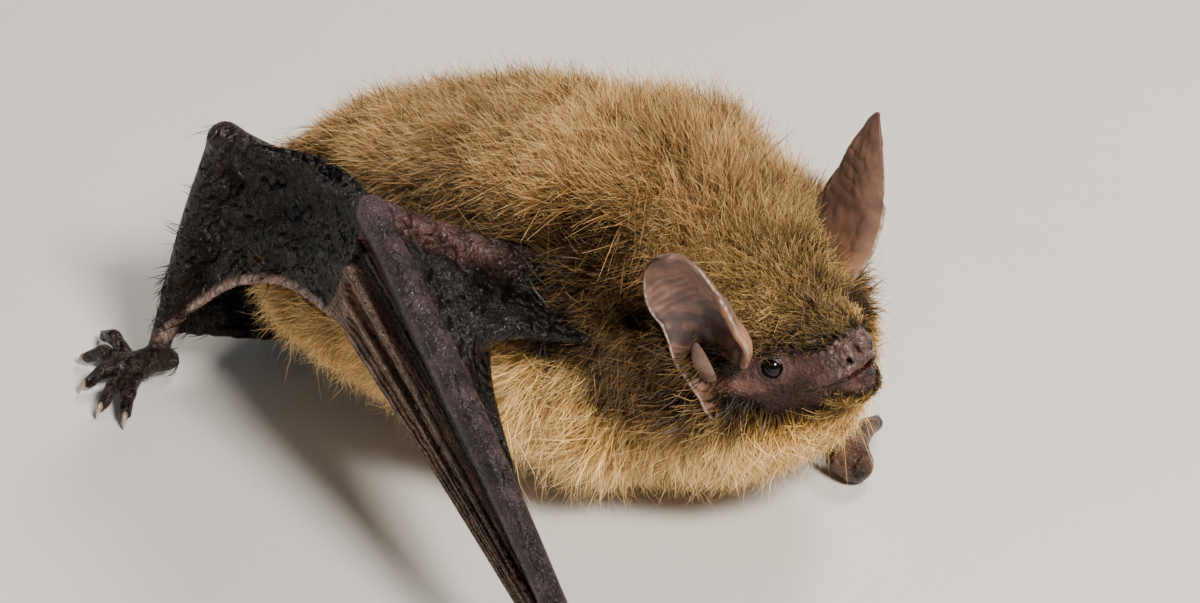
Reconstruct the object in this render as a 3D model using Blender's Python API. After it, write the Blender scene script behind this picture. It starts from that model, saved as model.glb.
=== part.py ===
"""A mouse-eared bat crouching on its wrists and feet, life size.

Units are metres, +Z is up, +X is the way the body points and +Y is its left side.
The origin lies on the floor under the middle of the chest. Every solid is the outer
shape of one part of the body, out to the tips of the coat where there is fur.
"""

import math
from collections import namedtuple

import bmesh
import bpy
from mathutils import Matrix, Vector

MM = 0.001
GAP = 0.3 * MM  # clear space between neighbouring solids
SHEET = 0.6 * MM  # thickness of wing skin
RIGHT, LEFT = -1, 1

# ---------------------------------------------------------------- driving sizes, in millimetres

HEAD_AT = (17.5, -1.9, 12.7)  # middle of the skull
HEAD_YAW, HEAD_PITCH, HEAD_ROLL = -21.0, -20.0, 11.0  # turned right, nose raised, left side up
EAR_LENGTH = 12.7
EYE_RADIUS = 0.85
EYE_AT = (3.6, 3.1, -0.2)  # in the head's own axes, for the left eye

SHOULDER = {RIGHT: (9.5, -6.5, 13.8), LEFT: (8.5, 6.0, 12.5)}
ELBOW = {RIGHT: (-2.4, -14.4, 22.0), LEFT: (-9.0, 18.5, 11.0)}
WRIST = {RIGHT: (23.3, -31.2, 1.5), LEFT: (20.6, 3.6, 1.5)}
KNUCKLES = {  # where the long fingers bend, for fingers 5, 4 and 3
    RIGHT: [(-3.6, -15.4, 18.2), (-3.6, -15.6, 16.2), (-3.3, -15.6, 14.0)],
    LEFT: [(-9.4, 18.9, 8.6), (-9.4, 19.3, 7.0), (-9.0, 19.7, 5.2)],
}
THUMB_TIP = {RIGHT: (29.8, -32.6, 0.9), LEFT: (20.4, 9.0, 0.9)}
HIP = {RIGHT: (-12.0, -3.5, 14.0), LEFT: (-12.0, 4.5, 11.0)}
KNEE = {RIGHT: (-19.4, -3.8, 17.0), LEFT: (-19.9, 7.2, 10.0)}
ANKLE = {RIGHT: (-23.2, -6.9, 2.0), LEFT: (-20.0, 22.0, 2.0)}
TOE_TIPS = {  # on the floor, from the innermost toe to the outermost
    RIGHT: [(-29.0, -5.0), (-28.6, -8.2), (-26.6, -11.2), (-24.0, -13.2), (-21.8, -13.4)],
    LEFT: [(-26.4, 24.8), (-25.2, 27.6), (-22.6, 29.4), (-19.6, 29.6), (-17.2, 28.0)],
}
TAIL = [(-16.4, 0.0, 8.0), (-20.0, 0.3, 5.0), (-19.6, 0.8, 1.7), (-14.0, 1.0, 1.2), (-6.5, 0.6, 1.0)]

SIDES = {RIGHT: "right", LEFT: "left"}
FOREARM_RADII = (1.4, 1.6, 1.4, 1.2, 1.1, 1.1)

# ---------------------------------------------------------------- colours and materials

COLOURS = {
    "coat_back": ((0.42, 0.27, 0.12), 0.85),
    "coat_belly": ((0.66, 0.55, 0.34), 0.85),
    "wing_skin": ((0.035, 0.027, 0.033), 0.5),
    "face_skin": ((0.10, 0.055, 0.055), 0.5),
    "ear_skin": ((0.16, 0.085, 0.065), 0.55),
    "eye": ((0.006, 0.005, 0.005), 0.08),
    "claw": ((0.20, 0.15, 0.11), 0.35),
}


def make_materials():
    made = {}
    for name, (colour, roughness) in COLOURS.items():
        material = bpy.data.materials.new(name)
        material.use_nodes = True
        shader = material.node_tree.nodes["Principled BSDF"]
        shader.inputs["Base Color"].default_value = (*colour, 1)
        shader.inputs["Roughness"].default_value = roughness
        made[name] = material
    return made


# ---------------------------------------------------------------- small geometry helpers


def mm(point):
    return Vector(point) * MM


def between(points, share):
    """The point a share, 0 to 1, of the way along a smooth curve through the points."""
    spans = len(points) - 1
    place = min(max(share, 0.0), 1.0) * spans
    i = min(int(place), spans - 1)
    t = place - i
    a, b = Vector(points[i]), Vector(points[i + 1])
    before = Vector(points[i - 1]) if i > 0 else a * 2 - b
    after = Vector(points[i + 2]) if i + 2 <= spans else b * 2 - a
    return (
        a * 2 + (b - before) * t
        + (before * 2 - a * 5 + b * 4 - after) * t ** 2
        + (a * 3 - before - b * 3 + after) * t ** 3
    ) / 2


def add_object(name, bm, material):
    bmesh.ops.recalc_face_normals(bm, faces=bm.faces)
    if bm.calc_volume(signed=True) < 0:
        bmesh.ops.reverse_faces(bm, faces=bm.faces)
    mesh = bpy.data.meshes.new(name)
    bm.to_mesh(mesh)
    bm.free()
    obj = bpy.data.objects.new(name, mesh)
    bpy.context.scene.collection.objects.link(obj)
    obj.data.materials.append(material)
    mesh.shade_smooth()
    return obj


def bridge(rings, closed_ends=True):
    """A closed skin over rings of points, each with the same number of them."""
    bm = bmesh.new()
    rows = [[bm.verts.new(p) for p in ring] for ring in rings]
    for low, high in zip(rows, rows[1:]):
        for i, corner in enumerate(low):
            j = (i + 1) % len(low)
            bm.faces.new((corner, low[j], high[j], high[i]))
    if closed_ends:
        for row in (rows[0], rows[-1]):
            middle = bm.verts.new(sum((v.co for v in row), Vector()) / len(row))
            for i, corner in enumerate(row):
                bm.faces.new((corner, row[(i + 1) % len(row)], middle))
    bmesh.ops.recalc_face_normals(bm, faces=bm.faces)
    return bm


def limb(path, radii, sides=10, steps=7, grow=0.0, flatness=1.0):
    """A tapering tube with rounded ends along a smooth path; all in millimetres."""
    count = steps + 1
    centres = [between(path, i / steps) for i in range(count)]
    widths = [between([(r, 0, 0) for r in radii], i / steps)[0] + grow for i in range(count)]
    rings = []
    normal = None
    for i, centre in enumerate(centres):
        along = (centres[min(i + 1, steps)] - centres[max(i - 1, 0)]).normalized()
        if normal is None:
            normal = along.orthogonal().normalized()
            upward = Vector((0, 0, 1)) - along * along.z
            if upward.length > 0.2:
                normal = upward.normalized()
        normal = (normal - along * normal.dot(along)).normalized()
        across = along.cross(normal)
        ends = []
        if i == 0:
            ends = [(-0.85, 0.5), (-0.5, 0.85)]
        elif i == steps:
            ends = [(0.5, 0.85), (0.85, 0.5)]
        profile = ends + [(0.0, 1.0)] if i == 0 else [(0.0, 1.0)] + ends
        for shift, share in profile:
            ring = []
            for k in range(sides):
                angle = math.tau * k / sides
                ring.append(
                    (centre + along * widths[i] * shift
                     + normal * math.cos(angle) * widths[i] * share * flatness
                     + across * math.sin(angle) * widths[i] * share) * MM
                )
            rings.append(ring)
    return bridge(rings)


def sheet(edge_a, edge_b, bows, rows=12, columns=8, thickness=SHEET):
    """Wing skin stretched between two edges, each a list of points, and bowed by vectors."""
    first, last = Vector(bows[0]), Vector(bows[-1])

    def place(u, v):
        across = between(edge_a, u) * (1 - v) + between(edge_b, u) * v
        return (across + first.lerp(last, u) * math.sin(math.pi * v)) * MM

    def normal(u, v):
        step = 0.01
        along = place(min(u + step, 1), v) - place(max(u - step, 0), v)
        over = place(u, min(v + step, 1)) - place(u, max(v - step, 0))
        return along.cross(over).normalized()

    bm = bmesh.new()
    faces = {}
    for side in (RIGHT, LEFT):
        faces[side] = [
            [
                bm.verts.new(place(i / rows, j / columns)
                             + normal(i / rows, j / columns) * side * thickness / 2)
                for j in range(columns + 1)
            ]
            for i in range(rows + 1)
        ]
        grid = faces[side]
        for i in range(rows):
            for j in range(columns):
                bm.faces.new((grid[i][j], grid[i + 1][j], grid[i + 1][j + 1], grid[i][j + 1]))
    low, high = faces[RIGHT], faces[LEFT]
    border = [(i, 0) for i in range(rows)]
    border += [(rows, j) for j in range(columns)]
    border += [(i, columns) for i in range(rows, 0, -1)]
    border += [(0, j) for j in range(columns, 0, -1)]
    for (i, j), (k, m) in zip(border, border[1:] + border[:1]):
        bm.faces.new((low[i][j], low[k][m], high[k][m], high[i][j]))
    return bm


def bake(obj):
    """Applies the object's modifiers and keeps the largest closed piece of what is left."""
    bpy.context.view_layer.update()
    graph = bpy.context.evaluated_depsgraph_get()
    mesh = bpy.data.meshes.new_from_object(obj.evaluated_get(graph))
    obj.modifiers.clear()
    obj.data = mesh
    bm = bmesh.new()
    bm.from_mesh(mesh)
    bmesh.ops.remove_doubles(bm, verts=bm.verts, dist=0.001 * MM)
    bmesh.ops.dissolve_degenerate(bm, dist=0.001 * MM, edges=bm.edges)
    pieces = islands(bm)
    if len(pieces) > 1:
        pieces.sort(key=len)
        spare = [face for piece in pieces[:-1] for face in piece]
        bmesh.ops.delete(bm, geom=spare, context="FACES")
    loose = [edge for edge in bm.edges if not edge.link_faces]
    bmesh.ops.delete(bm, geom=loose, context="EDGES")
    bmesh.ops.holes_fill(bm, edges=[edge for edge in bm.edges if edge.is_boundary], sides=0)
    bmesh.ops.triangulate(bm, faces=bm.faces)
    remove_flaps(bm)
    bm.to_mesh(mesh)
    bm.free()
    return obj


def remove_flaps(bm):
    """Takes away pairs of triangles that lie back to back on the same three corners."""
    by_corners = {}
    for face in bm.faces:
        by_corners.setdefault(frozenset(face.verts), []).append(face)
    flaps = [face for faces in by_corners.values() if len(faces) > 1 for face in faces]
    bmesh.ops.delete(bm, geom=flaps, context="FACES")


def islands(bm):
    seen, found = set(), []
    for start in bm.faces:
        if start in seen:
            continue
        stack, piece = [start], []
        seen.add(start)
        while stack:
            face = stack.pop()
            piece.append(face)
            for edge in face.edges:
                for other in edge.link_faces:
                    if other not in seen:
                        seen.add(other)
                        stack.append(other)
        found.append(piece)
    return found


def cut(obj, cutters):
    """Takes the cutters' shapes out of the object, one by one, where they reach it."""
    for cutter in cutters:
        if not near(obj, cutter):
            continue
        modifier = obj.modifiers.new("cut", "BOOLEAN")
        modifier.operation = "DIFFERENCE"
        modifier.solver = "EXACT"
        modifier.object = cutter
        bake(obj)
    return obj


def near(one, other):
    """Whether the boxes round two meshes meet."""
    boxes = []
    for obj in (one, other):
        corners = [vertex.co for vertex in obj.data.vertices]
        low = [min(c[i] for c in corners) for i in range(3)]
        high = [max(c[i] for c in corners) for i in range(3)]
        boxes.append((low, high))
    (low_a, high_a), (low_b, high_b) = boxes
    return all(low_a[i] < high_b[i] and low_b[i] < high_a[i] for i in range(3))


def clip(bm, point, normal):
    """Keeps what lies behind a plane, and closes the cut with a flat face. Metres."""
    geometry = bm.verts[:] + bm.edges[:] + bm.faces[:]
    made = bmesh.ops.bisect_plane(
        bm, geom=geometry, plane_co=point, plane_no=normal, clear_outer=True, dist=1e-7
    )
    edges = [e for e in made["geom_cut"] if isinstance(e, bmesh.types.BMEdge)]
    if edges:
        bmesh.ops.triangle_fill(bm, edges=edges, use_beauty=True)
    return bm


def on_floor(bm):
    return clip(bm, Vector((0, 0, 0)), Vector((0, 0, -1)))


# ---------------------------------------------------------------- the head's own axes

HEAD_TURN = (
    Matrix.Rotation(math.radians(HEAD_YAW), 3, "Z")
    @ Matrix.Rotation(math.radians(HEAD_PITCH), 3, "Y")
    @ Matrix.Rotation(math.radians(HEAD_ROLL), 3, "X")
)


def head_point(point):
    """A point of the head's own axes, in the part's axes, both in millimetres."""
    return Vector(HEAD_AT) + HEAD_TURN @ Vector(point)


# ---------------------------------------------------------------- trunk, neck and head

# Each ring: how far along, its middle's height, half its width, half its height.
Ring = namedtuple("Ring", "x z width height")
TRUNK_RINGS = [
    Ring(-18.2, 10.2, 1.3, 1.3),
    Ring(-17.2, 10.2, 4.2, 4.0),
    Ring(-14.0, 10.7, 7.6, 7.0),
    Ring(-9.5, 11.4, 9.8, 8.9),
    Ring(-5.0, 12.0, 11.2, 10.3),
    Ring(0.8, 11.35, 12.0, 12.15),
    Ring(6.6, 12.5, 11.9, 11.1),
    Ring(10.0, 12.2, 11.1, 10.5),
]
HEAD_RINGS = [
    Ring(-2.6, 0.4, 8.5, 8.3),
    Ring(-0.6, 0.1, 8.2, 8.1),
    Ring(1.1, -0.5, 7.1, 7.2),
    Ring(2.5, -1.2, 5.4, 6.0),
    Ring(3.9, -1.3, 3.8, 4.3),
    Ring(5.5, -1.3, 2.7, 3.1),
    Ring(7.2, -1.15, 2.1, 2.3),
    Ring(8.3, -1.0, 0.9, 0.9),
]
RING_SIDES = 18
RING_STEPS = 33
ROUNDNESS = 2.2  # 2 is an ellipse, more is squarer


def body_rings():
    """Middle, sideways half axis and upward half axis of each ring from rump to nose."""
    rings = []
    for r in TRUNK_RINGS:
        rings.append((Vector((r.x, 0, r.z)), Vector((0, r.width, 0)), Vector((0, 0, r.height))))
    for r in HEAD_RINGS:
        rings.append((
            head_point((r.x, 0, r.z)),
            HEAD_TURN @ Vector((0, r.width, 0)),
            HEAD_TURN @ Vector((0, 0, r.height)),
        ))
    return rings


def body_shape(grow=0.0):
    """The whole body as one closed shape, grown all round by some millimetres."""
    rings = body_rings()
    middles, sideways, upward = zip(*rings)
    made = []
    for i in range(RING_STEPS + 1):
        share = i / RING_STEPS
        middle = between(middles, share)
        side, up = between(sideways, share), between(upward, share)
        side += side.normalized() * grow
        up += up.normalized() * grow
        if grow and i in (0, RING_STEPS):
            middle += (middle - between(middles, abs(share - 0.02))).normalized() * grow
        ring = []
        for k in range(RING_SIDES):
            angle = math.tau * k / RING_SIDES
            power = 2 / ROUNDNESS
            c = math.copysign(abs(math.cos(angle)) ** power, math.cos(angle))
            s = math.copysign(abs(math.sin(angle)) ** power, math.sin(angle))
            ring.append((middle + side * c + up * s) * MM)
        made.append(ring)
    return bridge(made)


def helper(name, bm, materials):
    """A shape that only cuts others. It isn't part of the model."""
    obj = add_object(name, bm, materials["wing_skin"])
    obj.hide_render = True
    obj.display_type = "WIRE"
    return obj


def body_planes():
    """The thin cuts that part the body, from rump to nose: a point and the way to the nose."""
    forward = HEAD_TURN @ Vector((1, 0, 0))
    neck = (Vector((1, 0, 0)) + forward).normalized()
    return [
        (Vector((-6.0, 0, 0)), Vector((1, 0, 0))),
        (Vector((9.5, 0, 12)), Vector((1, 0, 0)) * 0.97 + Vector((0, 0, -0.2))),
        (head_point((-2.8, 0, 0)), neck),
        (head_point((4.6, 0, 0)), forward),
        (head_point((7.5, 0, 0)), forward),
    ]


BODY_PARTS = [
    ("abdomen", "coat_back"),
    ("chest", "coat_back"),
    ("neck", "coat_back"),
    ("head", "coat_back"),
    ("muzzle", "face_skin"),
    ("nose", "face_skin"),
]
MOUTH_AT = (8.0, 0, -1.85)
MOUTH_SLOPE = 0.12  # how much the mouth's line rises towards the nose


def make_body(materials):
    """Parts the body with planes, and the muzzle from the lower jaw at the mouth's line."""
    wing = limb([ELBOW[LEFT], WRIST[LEFT]], FOREARM_RADII, grow=GAP / MM)
    wing = helper("forearm_groove", wing, materials)
    eyes = []
    for side in (RIGHT, LEFT):
        socket = ball(eye_place(side), EYE_RADIUS + GAP / MM)
        eyes.append(helper(f"eye_socket_{SIDES[side]}", socket, materials))
    planes = body_planes()
    mouth = HEAD_TURN @ Vector((-MOUTH_SLOPE, 0, 1)).normalized()
    for i, (name, material) in enumerate(BODY_PARTS):
        pieces = [(name, None)]
        if name == "muzzle":
            pieces = [("muzzle", -1), ("lower_jaw", 1)]
        if name == "nose":
            pieces = [("nose", -1)]
        for piece, jaw_side in pieces:
            bm = on_floor(body_shape())
            if i > 0:
                point, way = planes[i - 1]
                clip(bm, (point + way * GAP / MM / 2) * MM, -way)
            if i < len(planes) and piece != "lower_jaw":
                point, way = planes[i]
                clip(bm, (point - way * GAP / MM / 2) * MM, way)
            if jaw_side:
                shift = mouth * (GAP / MM / 2) * -jaw_side
                clip(bm, (head_point(MOUTH_AT) + shift) * MM, mouth * jaw_side)
            obj = add_object(piece, bm, materials[material])
            if name in ("head", "muzzle"):
                cut(obj, eyes)
            if name in ("chest", "neck", "head"):
                cut(obj, [wing])


def ball(centre, radius, rings=6):
    bm = bmesh.new()
    bmesh.ops.create_uvsphere(bm, u_segments=rings * 2, v_segments=rings, radius=radius * MM)
    bmesh.ops.translate(bm, verts=bm.verts, vec=Vector(centre) * MM)
    return bm


def eye_place(side):
    x, y, z = EYE_AT
    return head_point((x, y * side, z))


def make_eyes(materials):
    for side in (RIGHT, LEFT):
        add_object(f"eye_{SIDES[side]}", ball(eye_place(side), EYE_RADIUS), materials["eye"])


# ---------------------------------------------------------------- ears

EAR_BASE = {RIGHT: (1.5, -6.5, 1.0), LEFT: (1.2, 6.6, 0.6)}  # in the head's axes
EAR_WAY = {RIGHT: (0.36, -0.27, 0.89), LEFT: (0.48, 0.25, 0.84)}
EAR_OPENS = {RIGHT: (0.45, -0.89, 0.0), LEFT: (0.25, 0.97, 0.0)}
EAR_HALF_WIDTHS = {
    RIGHT: [3.0, 3.6, 3.2, 2.9, 2.5, 2.0, 0.9], LEFT: [3.2, 3.8, 3.6, 3.0, 2.2, 1.3, 0.3],
}
EAR_PUSH = {  # how far five heights, from foot to tip, are pushed over, in the head's axes
    RIGHT: [(0.6, 0.6, 0.75), (1.2, 0.6, 0.3), (0.4, 0.3, 0.2), (0.1, 0.2, -0.3), (0.6, 0.15, -0.1)],
    LEFT: [(-1.7, -0.9, 0.4), (-1.3, -0.7, 0.3), (-0.3, -0.2, 0), (-0.3, -0.1, 0.1), (-0.9, -0.2, 0.2)],
}
EAR_SLOPE = {RIGHT: 0.24, LEFT: -0.10}
EAR_THICKNESS = 0.6
EAR_BEND = 1.25  # radians that each half of the ear curls round, at its base


def ear_shape(side, rows=8, columns=6, thickness=EAR_THICKNESS):
    """A leaf rolled about its length: wide and deep low down, flat and pointed at the tip."""
    way = (HEAD_TURN @ Vector(EAR_WAY[side])).normalized()
    opens = HEAD_TURN @ Vector(EAR_OPENS[side])
    opens = (opens - way * opens.dot(way)).normalized()
    outward = way.cross(opens) * side
    base = head_point(EAR_BASE[side])

    def place(u, v, depth):
        half = between([(w, 0, 0) for w in EAR_HALF_WIDTHS[side]], v)[0]
        bend = EAR_BEND * (1 - 0.55 * v)
        radius = half / bend
        angle = u * bend
        lift = radius * (1 - math.cos(angle)) - radius * 0.5
        lean = -0.9 * (1 - v) ** 2 * (u + 0.2) - 0.7 * v ** 2
        sideways = radius * math.sin(angle)
        return (
            base + way * (EAR_LENGTH * v - 1.0 - EAR_SLOPE[side] * sideways)
            + outward * (sideways + lean)
            + opens * (lift + depth)
            + HEAD_TURN @ Vector(between(EAR_PUSH[side], v))
        ) * MM

    bm = bmesh.new()
    layers = []
    for depth in (-thickness / 2, thickness / 2):
        layers.append([
            [bm.verts.new(place(2 * j / columns - 1, i / rows, depth)) for j in range(columns + 1)]
            for i in range(rows + 1)
        ])
    close_layers(bm, *layers)
    return bm


def close_layers(bm, low, high):
    """Faces over two grids of points and round their shared border."""
    rows, columns = len(low) - 1, len(low[0]) - 1
    for grid in (low, high):
        for i in range(rows):
            for j in range(columns):
                bm.faces.new((grid[i][j], grid[i + 1][j], grid[i + 1][j + 1], grid[i][j + 1]))
    border = [(i, 0) for i in range(rows)] + [(rows, j) for j in range(columns)]
    border += [(i, columns) for i in range(rows, 0, -1)]
    border += [(0, j) for j in range(columns, 0, -1)]
    for (i, j), (k, m) in zip(border, border[1:] + border[:1]):
        bm.faces.new((low[i][j], low[k][m], high[k][m], high[i][j]))


TRAGUS_ROOT = (2.4, 6.2, 1.4)  # in the head's axes, for the left ear
TRAGUS_TIP = (4.6, 8.2, 5.0)


def make_ears(materials, body):
    """Each ear's leaf, and the small blade that stands at the ear's mouth."""
    for side in (RIGHT, LEFT):
        label = SIDES[side]
        root, tip = (
            head_point((x, y * side, z)) for x, y, z in (TRAGUS_ROOT, TRAGUS_TIP)
        )
        shape = dict(radii=(0.8, 0.75, 0.5, 0.3), sides=8, steps=4)
        tragus = add_object(f"tragus_{label}", limb([root, tip], **shape), materials["ear_skin"])
        cut(tragus, [body])
        room = helper(f"tragus_{label}_clear", limb([root, tip], grow=GAP / MM, **shape), materials)
        ear = add_object(f"ear_{label}", ear_shape(side), materials["ear_skin"])
        cut(ear, [body, room])


# ---------------------------------------------------------------- wings


def make_arms(materials, body):
    """Upper arm, forearm, wrist, thumb and folded fingers of each wing."""
    clear = {RIGHT: [body], LEFT: [body]}
    for side in (RIGHT, LEFT):
        label = SIDES[side]
        shoulder, elbow, wrist = (Vector(p[side]) for p in (SHOULDER, ELBOW, WRIST))
        up, down = (shoulder - elbow).normalized(), (wrist - elbow).normalized()
        joint = (up - down).normalized()
        reach = wrist - down * 2.3
        for name, path, radii, way in (
            ("upper_arm", [shoulder, elbow + up * 0.3], (1.5, 1.6, 1.4, 1.3), -joint),
            ("forearm", [elbow, reach], FOREARM_RADII, joint),
        ):
            bm = limb(path, radii)
            clip(bm, (elbow + way * -GAP / MM / 2) * MM, way)
            obj = add_object(f"{name}_{label}", bm, materials["wing_skin"])
            if name == "upper_arm":
                cut(obj, [body])
            bigger = limb(path, radii, grow=GAP / MM)
            clear[side].append(helper(f"{name}_{label}_clear", bigger, materials))
        make_wrist(side, wrist, down, materials, clear)
        make_fingers(side, wrist, materials, clear)
    return clear


def make_wrist(side, wrist, down, materials, clear):
    """The wrist with its flat on the floor, and the thumb and its claw ahead of it."""
    label = SIDES[side]
    tip = Vector(THUMB_TIP[side])
    start, end = wrist - down * 0.4, wrist + (tip - wrist).normalized() * 0.5
    radii = (1.5, 1.75, 1.7)
    forearm = clear[side][2]
    wrist_obj = add_object(
        f"wrist_{label}", on_floor(limb([start, end], radii, steps=3)), materials["wing_skin"]
    )
    cut(wrist_obj, [forearm])
    wrist_clear = helper(
        f"wrist_{label}_clear", limb([start, end], radii, steps=3, grow=GAP / MM), materials
    )
    root = Vector((wrist.x, wrist.y, 1.2))
    bend = root + (tip - root) * 0.66
    bend.z = 0.62
    thumb = on_floor(limb([root, bend], (1.0, 0.75, 0.7), sides=8, steps=5))
    thumb = add_object(f"thumb_{label}", thumb, materials["wing_skin"])
    cut(thumb, [wrist_clear])
    thumb_clear = helper(
        f"thumb_{label}_clear", limb([root, bend], (1.0, 0.75, 0.7), sides=8, steps=5, grow=GAP / MM),
        materials,
    )
    hook = [bend, bend.lerp(tip, 0.5) + Vector((0, 0, 0.45)), Vector((tip.x, tip.y, 0.15))]
    claw = on_floor(limb(hook, (0.42, 0.4, 0.2), sides=8, steps=6))
    claw = add_object(f"thumb_claw_{label}", claw, materials["claw"])
    cut(claw, [thumb_clear])
    clear[side] += [wrist_clear, thumb_clear]


FINGERS = [("finger_5", 0.5), ("finger_4", 0.5), ("finger_3", 0.6)]


def make_fingers(side, wrist, materials, clear):
    label = SIDES[side]
    for i, (name, radius) in enumerate(FINGERS):
        knuckle = Vector(KNUCKLES[side][i])
        root = wrist + (knuckle - wrist).normalized() * 1.4
        root += Vector((0, 0, 0.5 - 0.35 * i))
        radii = (radius * 1.1, radius, radius, radius * 1.15)
        bm = limb([root, root.lerp(knuckle, 0.5), knuckle], radii, sides=6, steps=5)
        obj = add_object(f"{name}_{label}", on_floor(bm), materials["wing_skin"])
        cut(obj, clear[side])
        bigger = limb([root, root.lerp(knuckle, 0.5), knuckle], radii, 6, 5, GAP / MM)
        clear[side].append(helper(f"{name}_{label}_clear", bigger, materials))


# ---------------------------------------------------------------- legs and tail


def make_legs(materials, body, clear):
    for side in (RIGHT, LEFT):
        label = SIDES[side]
        hip, knee, ankle = (Vector(p[side]) for p in (HIP, KNEE, ANKLE))
        up, down = (hip - knee).normalized(), (ankle - knee).normalized()
        joint = (up - down).normalized()
        bones = (
            ("thigh", [hip, knee], (3.0, 2.4, 1.3), -joint),
            ("shin", [knee, ankle - down * 1.0], (1.2, 1.1, 0.9, 0.85), joint),
        )
        for name, path, radii, way in bones:
            bm = limb(path, radii, sides=8, steps=6)
            clip(bm, (knee + way * -GAP / MM / 2) * MM, way)
            obj = add_object(f"{name}_{label}", bm, materials["wing_skin"])
            cut(obj, [body])
            bigger = limb(path, radii, sides=8, steps=6, grow=GAP / MM)
            clear[side].append(helper(f"{name}_{label}_clear", bigger, materials))
        make_foot(side, ankle, materials, clear)


def make_foot(side, ankle, materials, clear):
    """A flat sole on the floor and five long toes with hooked ends, spread like a hand."""
    label = SIDES[side]
    tips = [Vector((*tip, 0.5)) for tip in TOE_TIPS[side]]
    middle = sum(tips, Vector()) / len(tips)
    ball_of_foot = ankle.lerp(middle, 0.42)
    ball_of_foot.z = 1.0
    heel = ankle - (middle - ankle) * 0.08
    heel.z = 1.2
    shape = dict(sides=8, steps=4)
    sole = on_floor(limb([heel, ball_of_foot], (1.1, 1.25, 1.35), **shape))
    sole = add_object(f"foot_{label}", sole, materials["wing_skin"])
    cut(sole, clear[side])
    grown = limb([heel, ball_of_foot], (1.1, 1.25, 1.35), grow=GAP / MM, **shape)
    clear[side].append(helper(f"foot_{label}_clear", grown, materials))
    across = (tips[-1] - tips[0]).normalized()
    for i, tip in enumerate(tips):
        root = ball_of_foot + across * (i - 2) * 0.62
        root.z = 0.75
        knuckle = root.lerp(tip, 0.5)
        knuckle.z = 1.35
        end = root.lerp(tip, 0.82)
        end.z = 0.95
        path = [root, knuckle, end, Vector((tip.x, tip.y, 0.2))]
        toe = on_floor(limb(path, (0.5, 0.5, 0.42, 0.25), sides=6, steps=5))
        toe = add_object(f"toe_{i + 1}_{label}", toe, materials["wing_skin"])
        neighbour = clear[side][-1:] if i == 0 else [clear[side][-1], sole_clear]
        if i == 0:
            sole_clear = clear[side][-1]
        cut(toe, neighbour)
        grown = limb(path, (0.5, 0.5, 0.42, 0.25), sides=6, steps=5, grow=GAP / MM)
        clear[side].append(helper(f"toe_{i + 1}_{label}_clear", grown, materials))


def make_tail(materials, body, clear):
    radii = (1.3, 1.1, 0.85, 0.7, 0.5)
    tail = on_floor(limb(TAIL, radii, sides=8, steps=9))
    tail = add_object("tail", tail, materials["wing_skin"])
    cut(tail, [body])
    grown = helper("tail_clear", limb(TAIL, radii, sides=8, steps=9, grow=GAP / MM), materials)
    for side in (RIGHT, LEFT):
        clear[side].append(grown)


# ---------------------------------------------------------------- wing skin


def along(points, shares):
    return [between(points, share) for share in shares]


def make_membranes(materials, clear):
    """The skin between the fingers, ahead of the arm, behind it, and beside the tail."""
    made = []
    for side in (RIGHT, LEFT):
        label = SIDES[side]
        shoulder, elbow, wrist = (Vector(p[side]) for p in (SHOULDER, ELBOW, WRIST))
        knee, ankle = Vector(KNEE[side]), Vector(ANKLE[side])
        knuckles = [Vector(p) for p in KNUCKLES[side]]
        out = (elbow - wrist).cross(knuckles[2] - wrist).normalized()
        out *= math.copysign(1, out.y * side)
        inner = [knuckles[2].lerp(elbow, -0.05) - out * 1.3, knuckles[2].lerp(wrist, 0.5) - out * 1.25]
        inner.append(knuckles[2].lerp(wrist, 0.9) - out * 1.2)
        hand = sheet(
            inner,
            [elbow.lerp(wrist, share) - out * 0.9 for share in (0.06, 0.5, 0.9)],
            [(0, 0, 0)], rows=8, columns=4,
        )
        corner = Vector(FREE_CORNER[side])
        front = sheet(
            [elbow.lerp(wrist, share) for share in (0.03, 0.10, 0.18, 0.40, 0.87)],
            [elbow.lerp(shoulder, 0.3), shoulder, Vector(NECK_EDGE[side]), corner,
             elbow.lerp(wrist, 0.88) + FREE_EDGE_RISE],
            [(0, 0, 0)], rows=10, columns=3,
        )
        behind = sheet(
            [ankle + Vector((0, 0, 1.0)), ankle.lerp(knee, 0.5), knee],
            [knuckles[2], knuckles[0], elbow],
            SIDE_BOWS[side], rows=5, columns=6,
        )
        tail_side = sheet(
            [ankle.lerp(knee, 0.1), ankle.lerp(knee, 0.5), knee.lerp(Vector(HIP[side]), 0.25)],
            [Vector(TAIL[3]), Vector(TAIL[2]), Vector(TAIL[0])],
            [(0, 0, 0)], rows=5, columns=4,
        )
        for name, bm in (
            ("hand_membrane", hand), ("front_membrane", front),
            ("side_membrane", behind), ("tail_membrane", tail_side),
        ):
            obj = add_object(f"{name}_{label}", on_floor(bm), materials["wing_skin"])
            cut(obj, clear[side])
            made.append(obj)
    return made


NECK_EDGE = {RIGHT: (10.6, -11.6, 15.0), LEFT: (9.5, 11.6, 12.0)}
FREE_CORNER = {RIGHT: (4.8, -13.2, 14.2), LEFT: (6.0, 12.9, 9.6)}
FREE_EDGE_RISE = Vector((0.6, 0.8, 1.6))
SIDE_BOWS = {  # how the skin behind the arm hangs at its free edge, and along the body
    RIGHT: [(-1.0, 2.5, 2.2), (0.6, 3.2, -0.6)],
    LEFT: [(0.0, 0.5, 1.0), (0.0, -1.5, 0.0)],
}


def main():
    for obj in list(bpy.data.objects):
        bpy.data.objects.remove(obj)
    materials = make_materials()
    make_body(materials)
    make_eyes(materials)
    body = helper("body_clear", body_shape(GAP / MM), materials)
    make_ears(materials, body)
    clear = make_arms(materials, body)
    make_legs(materials, body, clear)
    make_tail(materials, body, clear)
    make_membranes(materials, clear)


main()
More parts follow.
